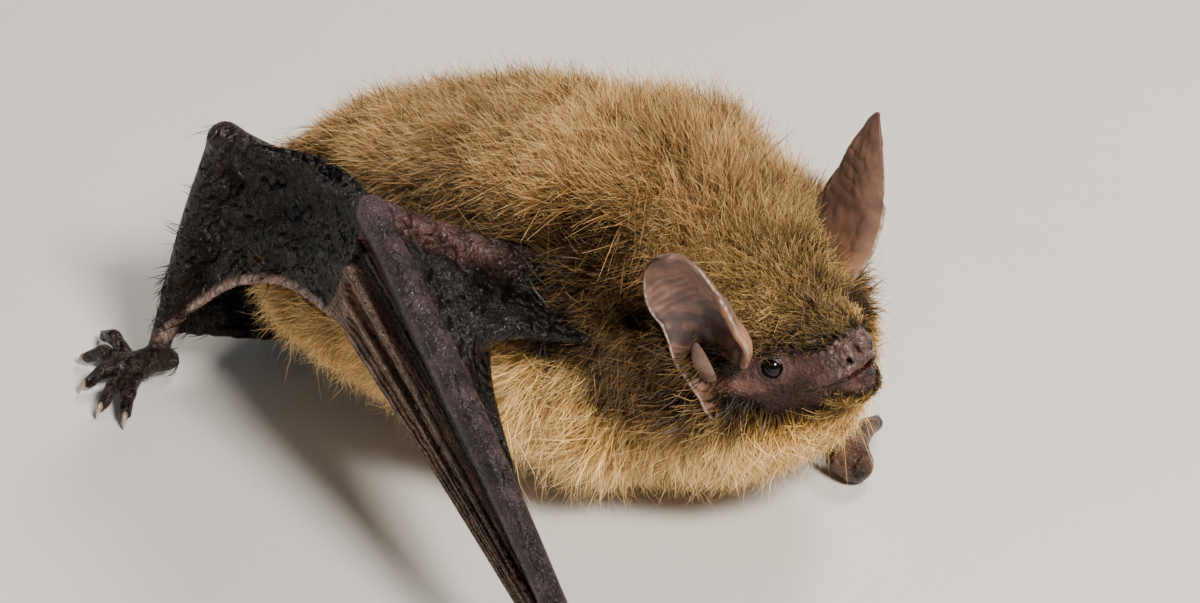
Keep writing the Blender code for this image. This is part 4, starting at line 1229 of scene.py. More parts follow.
dry = sums(tree, "ADD", sums(tree, "MULTIPLY", fine, 0.30), 0.30)
rough = sums(tree, "SUBTRACT", dry, sums(tree, "MULTIPLY", attribute(tree, "wet"), 0.30), True)
wire(tree, rough, shader.inputs["Roughness"])
shader.inputs["Specular IOR Level"].default_value = 0.36
skin_mesh.materials.append(skin_stuff)

# %% Skin of the ears
ear_stuff, tree, shader, where = recipe("ear_skin")
fine = noise(tree, where, 6500, 4)
veins = cells(tree, where, 900, "DISTANCE_TO_EDGE")
colour = shaded(tree, attribute(tree, "tint", "Color"), fine, 0.75, 1.25)
colour = shaded(tree, colour, sums(tree, "MULTIPLY", veins, 4.0, True), 0.88, 1.05)
wire(tree, colour, shader.inputs["Base Color"])
wire(tree, bump(tree, fine, 0.00003), shader.inputs["Normal"])
wire(tree, sums(tree, "ADD", sums(tree, "MULTIPLY", fine, 0.2), 0.36), shader.inputs["Roughness"])
shader.inputs["Subsurface Weight"].default_value = 0.12
shader.inputs["Subsurface Radius"].default_value = (0.9, 0.35, 0.2)
shader.inputs["Subsurface Scale"].default_value = 0.0004
shader.inputs["Sheen Weight"].default_value = 0.08
skin_mesh.materials.append(ear_stuff)
first_corners = ints(skin_mesh.loops, "vertex_index")[ints(skin_mesh.polygons, "loop_start")]
skin_mesh.polygons.foreach_set("material_index", is_ear[first_corners].astype(np.int32))

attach(skin, "root")
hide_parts(*[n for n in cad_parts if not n.startswith("eye") and "claw" not in n])

# %% [markdown]
# ## Eyes and claws
# A bat's eye is a glossy bead, nearly black, sunk so that the lids cover most of it. It is a
# clear dark dome, slightly raised in front as a real cornea is. The claws are smooth horn, pale
# at the tip, hooked to the ground.

# %% Eyes
def drop_in(name, mesh, slot, *nodes):
    piece = put(name, mesh)
    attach(piece, "root")
    if nodes:
        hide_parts(*nodes)


eye_stuff, tree, shader, where = recipe("dark_eye")
cloud = noise(tree, where, 2500, 3)
wire(tree, mixed(tree, "#060404", "#0E0806", cloud), shader.inputs["Base Color"])
wire(tree, bump(tree, cloud, 0.000003, 0.3), shader.inputs["Normal"])
shader.inputs["Roughness"].default_value = 0.02
shader.inputs["Specular IOR Level"].default_value = 0.30
for side, label in ((RIGHT, "right"), (LEFT, "left")):
    bm = bmesh.new()
    bmesh.ops.create_uvsphere(bm, u_segments=48, v_segments=32, radius=EYE_RADIUS)
    for vert in bm.verts:
        front = vert.co.z / EYE_RADIUS
        vert.co *= 1 + 0.05 * max(0.0, front - 0.6) / 0.4
    way = Vector(HEAD_TURN @ (EYE_WAY * (1, side, 1)))
    turn = way.to_track_quat("Z", "Y").to_matrix()
    at = Vector(head_point(*(EYE_MIDDLE * (1, side, 1))))
    for vert in bm.verts:
        vert.co = (turn @ vert.co + at) * MM
    mesh = bpy.data.meshes.new("eye")
    bm.to_mesh(mesh)
    bm.free()
    mesh.polygons.foreach_set("use_smooth", np.ones(len(mesh.polygons), bool))
    mesh.materials.append(eye_stuff)
    drop_in(f"bead_eye_{label}", mesh, "eye", f"eye_{label}")

# %% Claws
claw_stuff, tree, shader, where = recipe("horn")
streaks = noise(tree, where, 3000, 3)
paler = mixed(tree, "#3A2A22", "#B7A08A", attribute(tree, "along"))
wire(tree, shaded(tree, paler, streaks, 0.8, 1.2), shader.inputs["Base Color"])
wire(tree, bump(tree, streaks, 0.00002), shader.inputs["Normal"])
shader.inputs["Roughness"].default_value = 0.28


def hook(root, tip, rise, radius, steps=16, sides=12):
    """A curved cone, as points, faces and how far along each point is."""
    root, tip = np.array(root, float), np.array(tip, float)
    line = curve_through([root, (root + tip) / 2 + (0, 0, rise), tip], steps)
    t = np.linspace(0, 1, steps)
    girth = radius * (1 - t) ** 0.7 * 0.9 + 0.02
    points, quads = blade(line, girth * 0.72, girth, np.cross(unit(tip - root), (0, 0, 1.0)), sides)
    cap = [np.arange(sides)[::-1][None], np.arange(len(points) - sides, len(points))[None]]
    return points, quads, cap, np.repeat(t, sides)


def claw_mesh(name, hooks):
    points, quads, caps, along, start = [], [], [], [], 0
    for part_points, part_quads, part_caps, share in hooks:
        points.append(part_points)
        quads.append(part_quads + start)
        caps += [cap + start for cap in part_caps]
        along.append(share)
        start += len(part_points)
    mesh = make_mesh(name, np.concatenate(points), [np.concatenate(quads), np.concatenate(caps)])
    note(mesh, "along", np.concatenate(along))
    mesh.materials.append(claw_stuff)
    return mesh


for side, label in ((RIGHT, "right"), (LEFT, "left")):
    wrist, tip = joint("wrist", side), joint("thumb", side)
    way = unit(tip - wrist)
    root = wrist + way * 4.4 + (0, 0, 0.15)
    hooks = [hook(root, tip + (0, 0, -0.62), 0.55, 0.42)]
    drop_in(f"thumb_hook_{label}", claw_mesh("thumb_hook", hooks), "claw", f"thumb_claw_{label}")
toe_hooks = [hook(end, (tip[0], tip[1], 0.1), 0.28, 0.36) for end, tip in foot_claws]
drop_in("toe_hooks", claw_mesh("toe_hooks", toe_hooks), "claw")
print("claws", len(toe_hooks) + 2)

# %% [markdown]
# ## The coat
# Fur could be Blender's hair, but hair made of curves is lost when the model goes elsewhere. So
# each hair here is a thin tapered ribbon of real mesh. Four or five hairs that grow close together
# lean on each other and share a tip, as a tuft, and neighbouring tufts draw together in locks.
# What makes fur look right is where each hair points: back and down over the body, out and down
# on the throat, short and close on the face.

# %% How the coat lies
def coat_flow(points, normals):
    """The way the hair lies at each root, along the skin."""
    x, y, z = points.T
    side = np.sign(y + 1e-6)
    trunk = np.stack([-np.ones(len(x)), 0.25 * ease(-2, 4, y) - 0.05, -0.30 - 0.4 * ease(16, 8, z)], -1)
    neck = np.stack([-0.75 + 0.45 * ease(14, 9, z), 0.15 * side, -0.25 - 0.9 * ease(15, 9, z)], -1)
    local = in_head(points)
    low = ease(0.5, -2.5, local[:, 2])
    face = np.stack([-1 + 0.55 * low, (0.30 + 0.15 * low) * np.sign(local[:, 1]), 0.25 - 1.25 * low], -1)
    face = face @ HEAD_TURN.T
    onto_neck = ease(8, 12, x)[:, None]
    onto_head = ease(-4.0, -0.5, local[:, 0])[:, None] * ease(10, 13, x)[:, None]
    flow = trunk + (neck - trunk) * onto_neck
    flow = flow + (face - flow) * onto_head
    swirl = np.stack([wander(points, 7, 101 + k) for k in range(3)], -1)
    flow = unit(flow) + 0.22 * swirl
    return unit(flow - normals * (flow * normals).sum(-1, keepdims=True))


def from_eye(local):
    """Distance from the nearer eye, for points in head axes."""
    mirrored = np.stack([local[:, 0], np.abs(local[:, 1]), local[:, 2]], -1)
    return np.linalg.norm(mirrored - EYE_SKIN, axis=1)


def coat_length(points):
    """Length of the hair at each root."""
    x, y, z = points.T
    local = in_head(points)
    length = 4.7 + 0.5 * wander(points, 5, 111) - 1.5 * ease(8, 2, z)
    head = np.interp(local[:, 0], [-3, 0, 2, 3.5, 5, 7], [4.6, 4.1, 3.5, 2.7, 1.8, 0.9])
    throat = np.interp(local[:, 0], [-3, 0, 3, 5, 7], [3.6, 3.3, 2.8, 2.1, 1.0])
    head = head + (throat - head) * ease(-1.0, -3.0, local[:, 2])
    length = length + (head - length) * ease(10, 15, x)
    by_eye = 0.6 * ease(2.6, 1.4, from_eye(local)) * ease(0.5, -0.5, local[:, 1])
    return length * (1 - 0.48 * parting_and_painted_shade(points)) * (1 - by_eye)


def coat_lift(points):
    """How steeply hair leaves the skin and how flat it ends, in degrees."""
    x, y, z = points.T
    local = in_head(points)
    start = 66 - 24 * ease(6, 1.5, z) + 6 * wander(points, 4, 121)
    close = ease(2.5, 5.5, local[:, 0]) * ease(12, 16, x)
    end = 14 + 18 * ease(11, 17, z) + 12 * wander(points, 3, 122) - 6 * close
    return start - 12 * close, end


# %% [markdown]
# Roots are scattered over the skin by area. The bare face, ears, wings and legs get none, or few.

# %% Scatter roots
rng = np.random.default_rng(11)
mesh = skin_mesh
mesh.calc_loop_triangles()
tri = np.empty(len(mesh.loop_triangles) * 3, np.int32)
mesh.loop_triangles.foreach_get("vertices", tri)
tri = tri.reshape(-1, 3)
tri = tri[~is_ear[tri[:, 0]]]
corner = skin_points[tri]
area = 0.5 * np.linalg.norm(np.cross(corner[:, 1] - corner[:, 0], corner[:, 2] - corner[:, 0]), axis=1)
centre = corner.mean(1)
flat_way = unit(np.cross(corner[:, 1] - corner[:, 0], corner[:, 2] - corner[:, 0]))


def scatter(weight, count, seed):
    """Root points and the triangle of each, chosen by area and weight."""
    rng = np.random.default_rng(seed)
    share = np.cumsum(area * weight)
    pick = np.searchsorted(share, rng.uniform(0, share[-1], count)).clip(0, len(area) - 1)
    a, b = rng.uniform(size=(2, count))
    swap = a + b > 1
    a, b = np.where(swap, 1 - a, a), np.where(swap, 1 - b, b)
    c = corner[pick]
    return c[:, 0] + (c[:, 1] - c[:, 0]) * a[:, None] + (c[:, 2] - c[:, 0]) * b[:, None], pick


def knots(values):
    """A tree that finds the nearest of a set of points."""
    tree = KDTree(len(values))
    for i, value in enumerate(values):
        tree.insert(value, i)
    tree.balance()
    return tree


centre_depth = body_depth(centre)
centre_local = in_head(centre)
centre_bare = bare_face(centre_local) * ease(14, 17, centre[:, 0])
coated = ease(0.55, 0.25, centre_depth) * (centre_bare < 0.5) * (centre[:, 2] > 0.25)
under = 1 - 0.45 * ease(3.0, 1.0, centre[:, 2])
crowd = 1 + 0.9 * ease(12, 16, centre[:, 0]) * ease(0.5, 3.5, centre_local[:, 0])
print("coated area in square millimetres", round(float((area * coated).sum())))


# %% [markdown]
# Hair that grows from the belly must not come out through a wing. The grid of distances already
# knows where the flesh is, so the ears are added to it, and any place can then be asked.

# %% Ask the grid how far the flesh is
def stamp(points, thickness):
    """Marks the cells round thin parts as flesh."""
    at = np.round((points - GRID_LOW) / VOXEL).astype(int)
    inside = ((at > 1) & (at < np.array(GRID_COUNT) - 2)).all(1)
    at = np.unique(at[inside], axis=0)
    for shift in np.ndindex(3, 3, 3):
        a, b, c = (at + np.array(shift) - 1).T
        flesh[a, b, c] = np.minimum(flesh[a, b, c], VOXEL * np.linalg.norm(np.array(shift) - 1) - thickness)


def flesh_distance(points):
    """Distance from the flesh, for points of any shape (..., 3)."""
    at = (points - GRID_LOW) / VOXEL
    low = np.clip(np.floor(at).astype(int), 0, np.array(GRID_COUNT) - 2)
    part = np.clip(at - low, 0, 1)
    total = np.zeros(points.shape[:-1])
    for shift in np.ndindex(2, 2, 2):
        share = np.prod(np.where(np.array(shift) == 1, part, 1 - part), -1)
        a, b, c = np.moveaxis(low + np.array(shift), -1, 0)
        total += share * flesh[a, b, c]
    return total


stamp(skin_points[is_ear], 0.15)


# %% [markdown]
# A tuft starts as one root. Its hairs stand close around it and lean to one tip. Each hair is
# two or three steps long, and the last narrows to a point. It bends from a steep start to a flat
# end. A hair that would run into the flesh is shortened, and a tuft with many of them is left out.

# %% Grow tufts into ribbons
WIDTHS = {2: np.array([1.0, 0.85, 0.0]), 3: np.array([1.0, 0.92, 0.66, 0.0])}
MOST_CROSSING = 0.45  # a tuft with a larger share of hairs in the flesh is left out
SHORTENED = 0.22  # what is left of the length of a hair that would run into the flesh


def coat_depth(roots, normals):
    """How far the coat stands off the skin at each root."""
    local = in_head(roots)
    low = ease(0.1, -0.7, normals[:, 2])
    depth = 2.9 - 1.6 * low - 0.7 * ease(-12, -16, roots[:, 0]) - 0.5 * ease(6, 2, roots[:, 2])
    head = np.interp(local[:, 0], [-2.6, 0, 1.5, 2.6, 4, 5.5, 7], [2.5, 2.3, 2.0, 1.7, 1.3, 0.9, 0.5])
    head = head - 0.5 * ease(0, -2, local[:, 2])
    return depth + (head - depth) * ease(10, 14, roots[:, 0])


def grow(roots, normals, flow, length, lift, hairs, width, spread, gather, seed,
         steps=2, depth=None, curl=0.35, clear=0.02, locks=None):
    """Ribbon points, as (tuft, hair, point, 3), and which of the tufts were kept."""
    rng = np.random.default_rng(seed)
    count = len(roots)
    pull = 0.26 if locks is None else 0.48
    if locks is None:
        locks = roots[rng.choice(count, max(8, int(count * 0.02)), replace=False)]
    tree = knots(locks)
    found = [tree.find(p) for p in roots]
    near = np.array([index for _, index, _ in found])
    lock_at = np.array([place[:] for place, _, _ in found])
    turn = np.random.default_rng(77).normal(size=(near.max() + 1, 3))
    across = np.cross(normals, flow)
    yaw = 0.26 * rng.normal(size=count) + 0.26 * turn[near, 0]
    flow = unit(flow * np.cos(yaw)[:, None] + across * np.sin(yaw)[:, None])
    across = np.cross(normals, flow)
    start, end = (np.radians(a + 6 * rng.normal(size=count) + 4 * turn[near, 1]) for a in lift)
    length = length * (1 + 0.10 * rng.normal(size=count) + 0.07 * turn[near, 2])
    shape = (count, hairs)
    around = rng.normal(size=shape + (2,)) * spread
    bases = roots[:, None] + flow[:, None] * around[..., :1] + across[:, None] * around[..., 1:]
    reach = length[:, None] * (1 + 0.12 * rng.normal(size=shape)).clip(0.6, 1.35)
    fly = (rng.uniform(size=shape) < 0.12) * rng.uniform(0.1, 0.5, shape)
    up = start[:, None] + 0.10 * rng.normal(size=shape) + fly
    down = end[:, None] + 0.16 * rng.normal(size=shape) + 1.2 * fly
    veer = 0.18 * rng.normal(size=shape)
    n, f, a = normals[:, None], flow[:, None], across[:, None]
    level = f * np.cos(veer)[..., None] + a * np.sin(veer)[..., None]
    first = n * np.sin(up)[..., None] + level * np.cos(up)[..., None]
    last = n * np.sin(down)[..., None] + level * np.cos(down)[..., None]
    last = last + a * (curl * rng.normal(size=shape))[..., None] - np.array([0, 0, 0.10])
    t = np.linspace(0, 1, steps + 1)[:, None]
    line = bases[:, :, None] + reach[..., None, None] * (
        first[:, :, None] * t + (last - first)[:, :, None] * t ** 2 / 2)
    phase = rng.uniform(0, 6.28, shape)[..., None, None]
    line = line + a[:, :, None] * (0.16 * curl * reach[..., None, None] * t * np.sin(5.0 * t + phase))
    tip = line[:, :, -1].mean(1, keepdims=True)
    line = line + (tip - line[:, :, -1])[:, :, None] * (gather * t ** 1.6)
    lock_tip = lock_at + (line[:, :, -1].mean(1) - roots) * 0.92
    line = line + (lock_tip - line[:, :, -1].mean(1))[:, None, None] * (pull * t ** 1.5)
    if depth is not None:
        stands = body_depth(line[:, :, -1].reshape(-1, 3)).reshape(shape)
        allowed = depth[:, None] * (1 + 0.16 * rng.normal(size=shape) + 0.5 * (fly > 0))
        over = np.maximum(stands - allowed, 0)[..., None, None]
        line = line - n[:, :, None] * over * t ** 1.6
    deepest = flesh_distance(line[:, :, 1:]).min(-1)
    crossing = deepest < clear
    keep = crossing.mean(1) < MOST_CROSSING
    shrink = np.where(crossing, SHORTENED, 1.0)[..., None, None]
    line = line[:, :, :1] + (line - line[:, :, :1]) * shrink
    along = unit(np.gradient(line, axis=2))
    roll = rng.uniform(-1.1, 1.1, shape)[..., None, None]
    flat = unit(np.cross(along, np.broadcast_to(n[:, :, None], along.shape)))
    wide = flat * np.cos(roll) + np.cross(along, flat) * np.sin(roll)
    half = 0.5 * width * rng.uniform(0.7, 1.3, shape)[..., None] * WIDTHS[steps]
    left, right = line - wide * half[..., None], line + wide * half[..., None]
    sides = [edge[:, :, i] for i in range(steps) for edge in (left, right)]
    points = np.stack(sides + [line[:, :, -1]], 2)
    points[..., 2] = np.maximum(points[..., 2], 0.04)
    return points[keep], keep


coat_triangles = []
SHARES = {2: np.array([0, 0, 0.5, 0.5, 1.0]), 3: np.array([0, 0, 1, 1, 2, 2, 3]) / 3}
EDGES = {2: np.array([0, 1, 0, 1, 0.5]), 3: np.array([0, 1, 0, 1, 0, 1, 0.5])}
QUADS = {2: np.array([[0, 1, 3, 2]]), 3: np.array([[0, 1, 3, 2], [2, 3, 5, 4]])}
TIP = {2: np.array([[2, 3, 4]]), 3: np.array([[4, 5, 6]])}


# %% [markdown]
# The map called OFBake gives every tuft a small patch of its own, at the place its root has on
# the skin when that is rolled out flat: how far round the body, and how far from rump to nose.

# %% Roll the skin out flat
def rolled_out(points):
    """Place of each root on the unrolled skin, from 0 to 1 both ways."""
    local = in_head(points)
    head = ease(10, 13, points[:, 0])
    angle_trunk = np.arctan2(points[:, 1], points[:, 2] - 10.6)
    angle_head = np.arctan2(local[:, 1], local[:, 2] + 1.0)
    angle = angle_trunk + (angle_head - angle_trunk) * head
    run = points[:, 0] + (HEAD_AT[0] + local[:, 0] - points[:, 0]) * head
    return np.stack([0.5 + angle / (2 * np.pi) * 0.98, (run + 20) / 48], -1)


def coat_piece(name, points, roots, marks):
    """One mesh of ribbons with its notes and its OFBake map."""
    tufts, hairs, each = points.shape[:3]
    steps = each // 2
    start = np.arange(tufts * hairs)[:, None, None] * each
    faces = [(start + QUADS[steps]).reshape(-1, 4), (start + TIP[steps]).reshape(-1, 3)]
    mesh = make_mesh(name, points.reshape(-1, 3), faces)
    note(mesh, "along", np.tile(SHARES[steps], tufts * hairs))
    for mark, values in marks.items():
        note(mesh, mark, np.repeat(values.ravel(), each if values.ndim == 2 else each * hairs))
    at = rolled_out(roots)[:, None, None]
    patch = np.stack([(np.arange(hairs)[:, None] + 0.1 + 0.8 * EDGES[steps]) / hairs,
                      np.broadcast_to(SHARES[steps], (hairs, each))], -1)
    uv = (at + 0.003 * (patch[None] - 0.5)).reshape(-1, 2).clip(0, 1)
    corner = np.concatenate([f.ravel() for f in faces])
    layer = mesh.uv_layers.new(name="OFBake")
    layer.uv.foreach_set("vector", uv[corner].astype(np.float32).ravel())
    mesh.materials.append(hair_stuff)
    piece = put(name, mesh)
    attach(piece, "root")
    coat_triangles.append(tufts * hairs * (2 * steps - 1))
    print(name, "triangles", coat_triangles[-1])


# %% [markdown]
# Each hair of a wild bat has a dark brown base and a golden tip. On the underside the tip is
# cream. A ramp along the hair gives this, with a little difference from one hair to the next.

# %% Hair material
def ramp_along(tree, stops, factor):
    made = node(tree, "ShaderNodeValToRGB")
    ramp = made.color_ramp
    while len(ramp.elements) < len(stops):
        ramp.elements.new(0.5)
    for element, (place, code) in zip(ramp.elements, stops):
        element.position = place
        element.color = (*tint(code), 1)
    wire(tree, factor, made.inputs["Fac"])
    return made.outputs["Color"]


hair_stuff, tree, shader, where = recipe("hair")
along = attribute(tree, "along")
streak = noise(tree, where, 1400, 2)
BROWN = [(0.0, "#0A0502"), (0.34, "#1B0F08"), (0.62, "#50341B"), (0.84, "#98703F"), (1.0, "#F0CC92")]
OLIVE = [(0.0, "#0B0602"), (0.35, "#1F140A"), (0.62, "#4C381C"), (0.85, "#8B6A3C"), (1.0, "#E0BC84")]
brown, olive = ramp_along(tree, BROWN, along), ramp_along(tree, OLIVE, along)
pale = ramp_along(tree, [(0.0, "#1E1305"), (0.25, "#5E431C"), (0.55, "#B08645"), (1.0, "#F4D093")], along)
colour = mixed(tree, brown, olive, attribute(tree, "olive"))
colour = mixed(tree, colour, pale, attribute(tree, "cream"))
# The dark mark: the fur's dark base where it parts, and painted shade.
colour = mixed(tree, colour, "#0E0704", sums(tree, "MULTIPLY", attribute(tree, "dark"), 0.94))
colour = shaded(tree, colour, attribute(tree, "vary"), 0.28, 2.45)
colour = shaded(tree, colour, streak, 0.85, 1.15)
wire(tree, colour, shader.inputs["Base Color"])
rough = sums(tree, "ADD", sums(tree, "MULTIPLY", attribute(tree, "vary"), 0.15), 0.40)
wire(tree, rough, shader.inputs["Roughness"])
wire(tree, bump(tree, streak, 0.00001, 0.3), shader.inputs["Normal"])
shader.inputs["Specular IOR Level"].default_value = 0.16


# %% [markdown]
# The body's coat has two layers: a soft lower one, and curlier, longer, brighter guard hairs over
# it. Both gather at the same locks. Each is split along the body, so that no piece grows too heavy.

# %% Grow the body's coat
HAIRS, GUARD_HAIRS = 5, 4
BODY_TUFTS, GUARD_TUFTS = 43000, 27500
LOCK_COUNT = 1500


def coat_marks(roots, points, extra_dark=0.0):
    """The markings of each tuft, read where its tips are seen and not where it grows."""
    tips = points[:, :, -1].mean(1)
    seen = roots + 0.6 * (tips - roots)
    local = in_head(seen)
    # ridge is the top of the back. Its hairs are made brighter in vary below: painted highlight.
    ridge = ease(1, 4, seen[:, 0]) * ease(13, 10.5, seen[:, 0]) * ease(19, 21, seen[:, 2])
    return {
        "cream": np.clip(cream(seen) + 0.12 * rng.normal(size=len(roots)), 0, 1),
        "olive": ease(-2, 2, local[:, 0]) * ease(13, 16, seen[:, 0]),
        "dark": np.clip(parting_and_painted_shade(seen) + extra_dark, 0, 1),
        "vary": np.clip(0.36 + 0.14 * rng.normal(size=points.shape[:2])
                        + 0.42 * (rng.uniform(size=points.shape[:2]) < 0.17)
                        + 0.13 * ridge[:, None] + 0.13 * wander(seen, 2.5, 141)[:, None]
                        + 0.16 * wander(seen, 0.7, 142)[:, None], 0, 1),
    }


coated = coated * (1 - in_ear_mouth(centre)) * (1 - wrapped(centre))
LOCKS = scatter(coated * crowd, LOCK_COUNT, 51)[0]


def body_coat(name, pieces, tufts, hairs, width, spread, gather, steps, longer, curl, bright, seed):
    """One layer of the body's coat, from scattering to finished pieces."""
    roots, pick = scatter(coated * under * crowd, tufts, seed)
    normals = body_normal(roots)
    flow = coat_flow(roots, normals)
    points, keep = grow(roots, normals, flow, coat_length(roots) * longer, coat_lift(roots), hairs, width,
                        spread, gather, seed + 10, steps, coat_depth(roots, normals) * longer, curl,
                        locks=LOCKS)
    roots = roots[keep]
    print("tufts kept", keep.sum(), "of", len(keep))
    marks = coat_marks(roots, points)
    marks["dark"] = np.clip(marks["dark"] * (1 - bright), 0, 1)
    marks["vary"] = np.clip(marks["vary"] + 0.3 * bright, 0, 1)
    order = np.argsort(roots[:, 0], kind="stable")
    for k, group in enumerate(np.array_split(order, pieces)):
        chosen = {mark: values[group] for mark, values in marks.items()}
        coat_piece(f"{name}_{k + 1}", points[group], roots[group], chosen)


body_coat("coat", pieces=5, tufts=BODY_TUFTS, hairs=HAIRS, width=0.079, spread=0.27, gather=0.20,
          steps=2, longer=0.94, curl=0.40, bright=-0.25, seed=21)
body_coat("guard_hair", pieces=4, tufts=GUARD_TUFTS, hairs=GUARD_HAIRS, width=0.042, spread=0.42,
          gather=0.12, steps=3, longer=1.08, curl=0.80, bright=0.25, seed=24)

# %% [markdown]
# Sparse dark hairs cover the skin near the body and the legs, and a fine pale down covers the
# face, thickest along the lower edge of the mask. The skin shows between them.

# %% Short hairs on limbs and face
LIMB_TUFTS, DOWN_TUFTS = 3000, 2600
leg_near, arm_near = np.full((2, len(centre)), 99.0)
for side in (RIGHT, LEFT):
    shoulder, elbow, hip, knee, ankle = joints(side, "shoulder elbow hip knee ankle")
    leg_near = np.minimum(leg_near, line_distance(centre, np.array([hip, knee, ankle]))[0])
    haired = np.array([shoulder, shoulder + (elbow - shoulder) * 0.45])
    arm_near = np.minimum(arm_near, line_distance(centre, haired)[0])
off_body = ease(0.2, 0.5, centre_depth)
on_leg = ease(3.2, 1.5, leg_near) * ease(12, 9, np.abs(centre[:, 1]))
limb = off_body * np.maximum(on_leg, 0.8 * ease(3.4, 1.9, arm_near))
limb = np.maximum(limb, 0.12 * off_body * ease(4.5, 1.0, centre_depth) * (centre[:, 2] > 0.8))
roots, pick = scatter(limb * (1 - 0.75 * wrapped(centre)), LIMB_TUFTS, 22)
normals = flat_way[pick]
flow = np.stack([-np.ones(len(roots)), 0.5 * np.sign(roots[:, 1]), -0.55 * np.ones(len(roots))], -1)
flow = unit(flow + 0.3 * rng.normal(size=flow.shape))
flow = unit(flow - normals * (flow * normals).sum(-1, keepdims=True))
length = 1.9 + 1.5 * ease(3.0, 0.5, body_depth(roots))
lift = np.full(len(roots), 38.0), np.full(len(roots), 14.0)
points, keep = grow(roots, normals, flow, length, lift, HAIRS, width=0.055, spread=0.25, gather=0.25,
                    seed=32)
roots = roots[keep]
marks = coat_marks(roots, points, 0.92)
marks["cream"] = marks["cream"] * 0.15 * ease(2.5, 0.5, body_depth(roots))
marks["vary"] = marks["vary"] * 0.6
coat_piece("coat_limbs", points, roots, marks)

centre_eye = from_eye(centre_local)
down_weight = centre_bare * (centre_depth < 0.5) * ease(7.4, 6.8, centre_local[:, 0]) * (centre_eye > 1.9)
low_edge = centre_local[:, 2] - np.interp(centre_local[:, 0], *JAW_EDGE)
down_weight = down_weight * (1 + 7 * ease(1.3, 0.2, low_edge)) * ease(2.4, 3.4, centre_local[:, 0])
roots, pick = scatter(down_weight, DOWN_TUFTS, 23)
normals = flat_way[pick]
flow = coat_flow(roots, normals)
low_edge = in_head(roots)
low_edge = low_edge[:, 2] - np.interp(low_edge[:, 0], *JAW_EDGE)
length = 0.45 + 0.30 * ease(5, 3, in_head(roots)[:, 0]) + 0.7 * ease(1.2, 0.1, low_edge)
lift = np.full(len(roots), 48.0), np.full(len(roots), 24.0)
points, keep = grow(roots, normals, flow, length, lift, HAIRS, width=0.026, spread=0.20, gather=0.10,
                    seed=33, clear=-1.0)
roots = roots[keep]
marks = coat_marks(roots, points)
marks["cream"] = 0.35 + 0.5 * ease(1.2, 0.1, low_edge[keep])
marks["vary"] = marks["vary"] * 0.75
coat_piece("face_down", points, roots, marks)

# %% [markdown]
# Four stiff whiskers stand out from the chin. Each is one long, thin rod that bends a little.

# %% Whiskers
WHISKER_STEPS, WHISKER_SIDES = 9, 5
EACH_WHISKER = WHISKER_STEPS * WHISKER_SIDES
rng_whisker = np.random.default_rng(41)
whisker_points, whisker_faces, whisker_along = [], [], []
for side in (RIGHT, LEFT):
    for spot, way, size in (
            ((5.9, -0.3, -4.0), (0.05, -0.15, -1.0), 5.6), ((5.5, -0.6, -4.1), (-0.15, -0.25, -1.0), 5.0)):
        start = head_point(spot[0], spot[1] * side, spot[2])
        way = HEAD_TURN @ np.array([way[0], way[1] * side, way[2]])
        way = unit(way + 0.12 * rng_whisker.normal(size=3))
        sag = np.array([0, 0, -1]) * size * 0.10 + 0.05 * size * rng_whisker.normal(size=3)
        t = np.linspace(0, 1, WHISKER_STEPS)[:, None]
        line = start + way * size * t + sag * t ** 2
        thin = 0.014 * (1 - t[:, 0]) + 0.004
        ring, quads = blade(line, thin, thin, np.array([0.3, 0.2, 0.9]), WHISKER_SIDES)
        whisker_faces.append(quads + sum(len(p) for p in whisker_points))
        whisker_points.append(ring)
        whisker_along.append(np.repeat(0.45 + 0.55 * t[:, 0], WHISKER_SIDES))
whisker_mesh = make_mesh("whiskers", np.concatenate(whisker_points), [np.concatenate(whisker_faces)])
note(whisker_mesh, "along", np.concatenate(whisker_along))
for mark, value in (("cream", 1.0), ("olive", 0.0), ("dark", 0.0), ("vary", 0.55)):
    note(whisker_mesh, mark, np.full(len(whisker_mesh.vertices), value))
layer = whisker_mesh.uv_layers.new(name="OFBake")
corner_at = np.concatenate(whisker_faces).ravel()
whisker_left = 0.02 + 0.02 * (corner_at // EACH_WHISKER)
uv = np.stack([whisker_left + 0.003 * (corner_at % WHISKER_SIDES) / WHISKER_SIDES,
               0.98 + 0.003 * (corner_at % EACH_WHISKER) / EACH_WHISKER], -1)
layer.uv.foreach_set("vector", uv.astype(np.float32).ravel())
whisker_mesh.materials.append(hair_stuff)
whiskers = put("whiskers", whisker_mesh)
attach(whiskers, "root")
print("coat triangles in all", sum(coat_triangles))

# %% [markdown]
# ## Floor, light and camera
# The model stands on a plain pale floor. One broad lamp from the front right gives the coat its
# shine and lets the far side fall off, a second fills the shadows, and a third from behind lights
# the tips of the hairs along the back. Broad lamps give soft shadows, as in a studio.

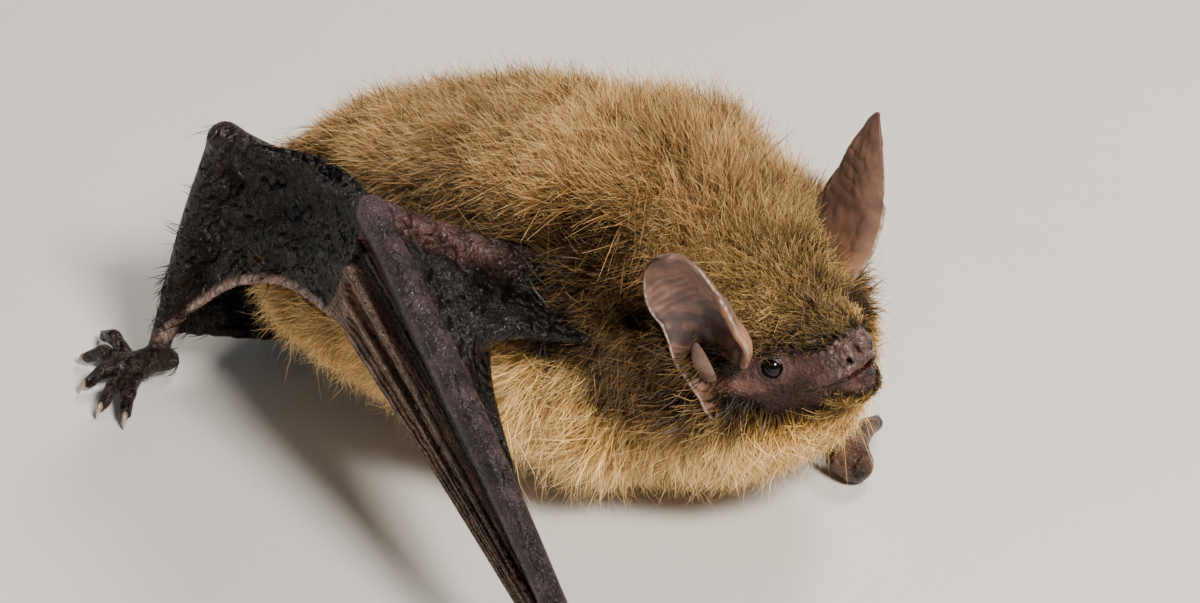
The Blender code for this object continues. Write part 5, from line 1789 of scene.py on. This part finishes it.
# %% Floor
floor_stuff, tree, shader, where = recipe("pale_floor")
blend = mixed(tree, "#CFCBC4", "#D6D2CB", noise(tree, where, 40, 4))
wire(tree, blend, shader.inputs["Base Color"])
shader.inputs["Roughness"].default_value = 0.75
bm = bmesh.new()
bmesh.ops.create_grid(bm, x_segments=1, y_segments=1, size=1.6)
floor_mesh = bpy.data.meshes.new("floor")
bm.to_mesh(floor_mesh)
bm.free()
floor = put("floor", floor_mesh)
floor_mesh.materials.append(floor_stuff)


# %% Lamps
def lamp(name, at, size, power, colour=(1, 1, 1)):
    light = bpy.data.lights.new(name, "AREA")
    light.shape, light.size, light.energy, light.color = "DISK", size, power, colour
    holder = put(name, light)
    holder.location = at
    holder.rotation_euler = (Vector((0, 0, 0.01)) - Vector(at)).to_track_quat("-Z", "Y").to_euler()


lamp("key", (0.27, -0.15, 0.33), 0.12, 3.8, (1.0, 0.96, 0.90))
lamp("fill", (-0.30, -0.34, 0.16), 0.35, 0.22)
lamp("rim", (0.02, 0.33, 0.34), 0.14, 1.6, (1.0, 0.95, 0.88))
world = bpy.data.worlds.new("soft_room")
bpy.context.scene.world = world
world.use_nodes = True
world.node_tree.nodes["Background"].inputs["Color"].default_value = (0.86, 0.90, 0.95, 1)
world.node_tree.nodes["Background"].inputs["Strength"].default_value = 0.17

# %% [markdown]
# The camera looks down at the bat from its front right, through a long lens, as a photographer
# does with a small animal.

# %% Camera
azimuth, height = math.radians(28), math.radians(32)
back = np.array([
    math.sin(azimuth) * math.cos(height), -math.cos(azimuth) * math.cos(height), math.sin(height)])
right = np.array([math.cos(azimuth), math.sin(azimuth), 0])
above = np.cross(back, right)
LENS, AWAY = 150, 312
TO_RIGHT, DOWN = 4.555, 1.154
spot = np.array([0, 0, 10]) + back * AWAY + right * TO_RIGHT - above * DOWN
camera_data = bpy.data.cameras.new("camera")
camera_data.lens, camera_data.sensor_width = LENS, 36
camera_data.clip_start, camera_data.clip_end = 0.01, 10
camera = put("camera", camera_data)
turn = np.stack([right, above, back], 1)
camera.matrix_world = Matrix.Translation(Vector(spot * MM)) @ Matrix(turn).to_4x4()
bpy.context.scene.camera = camera
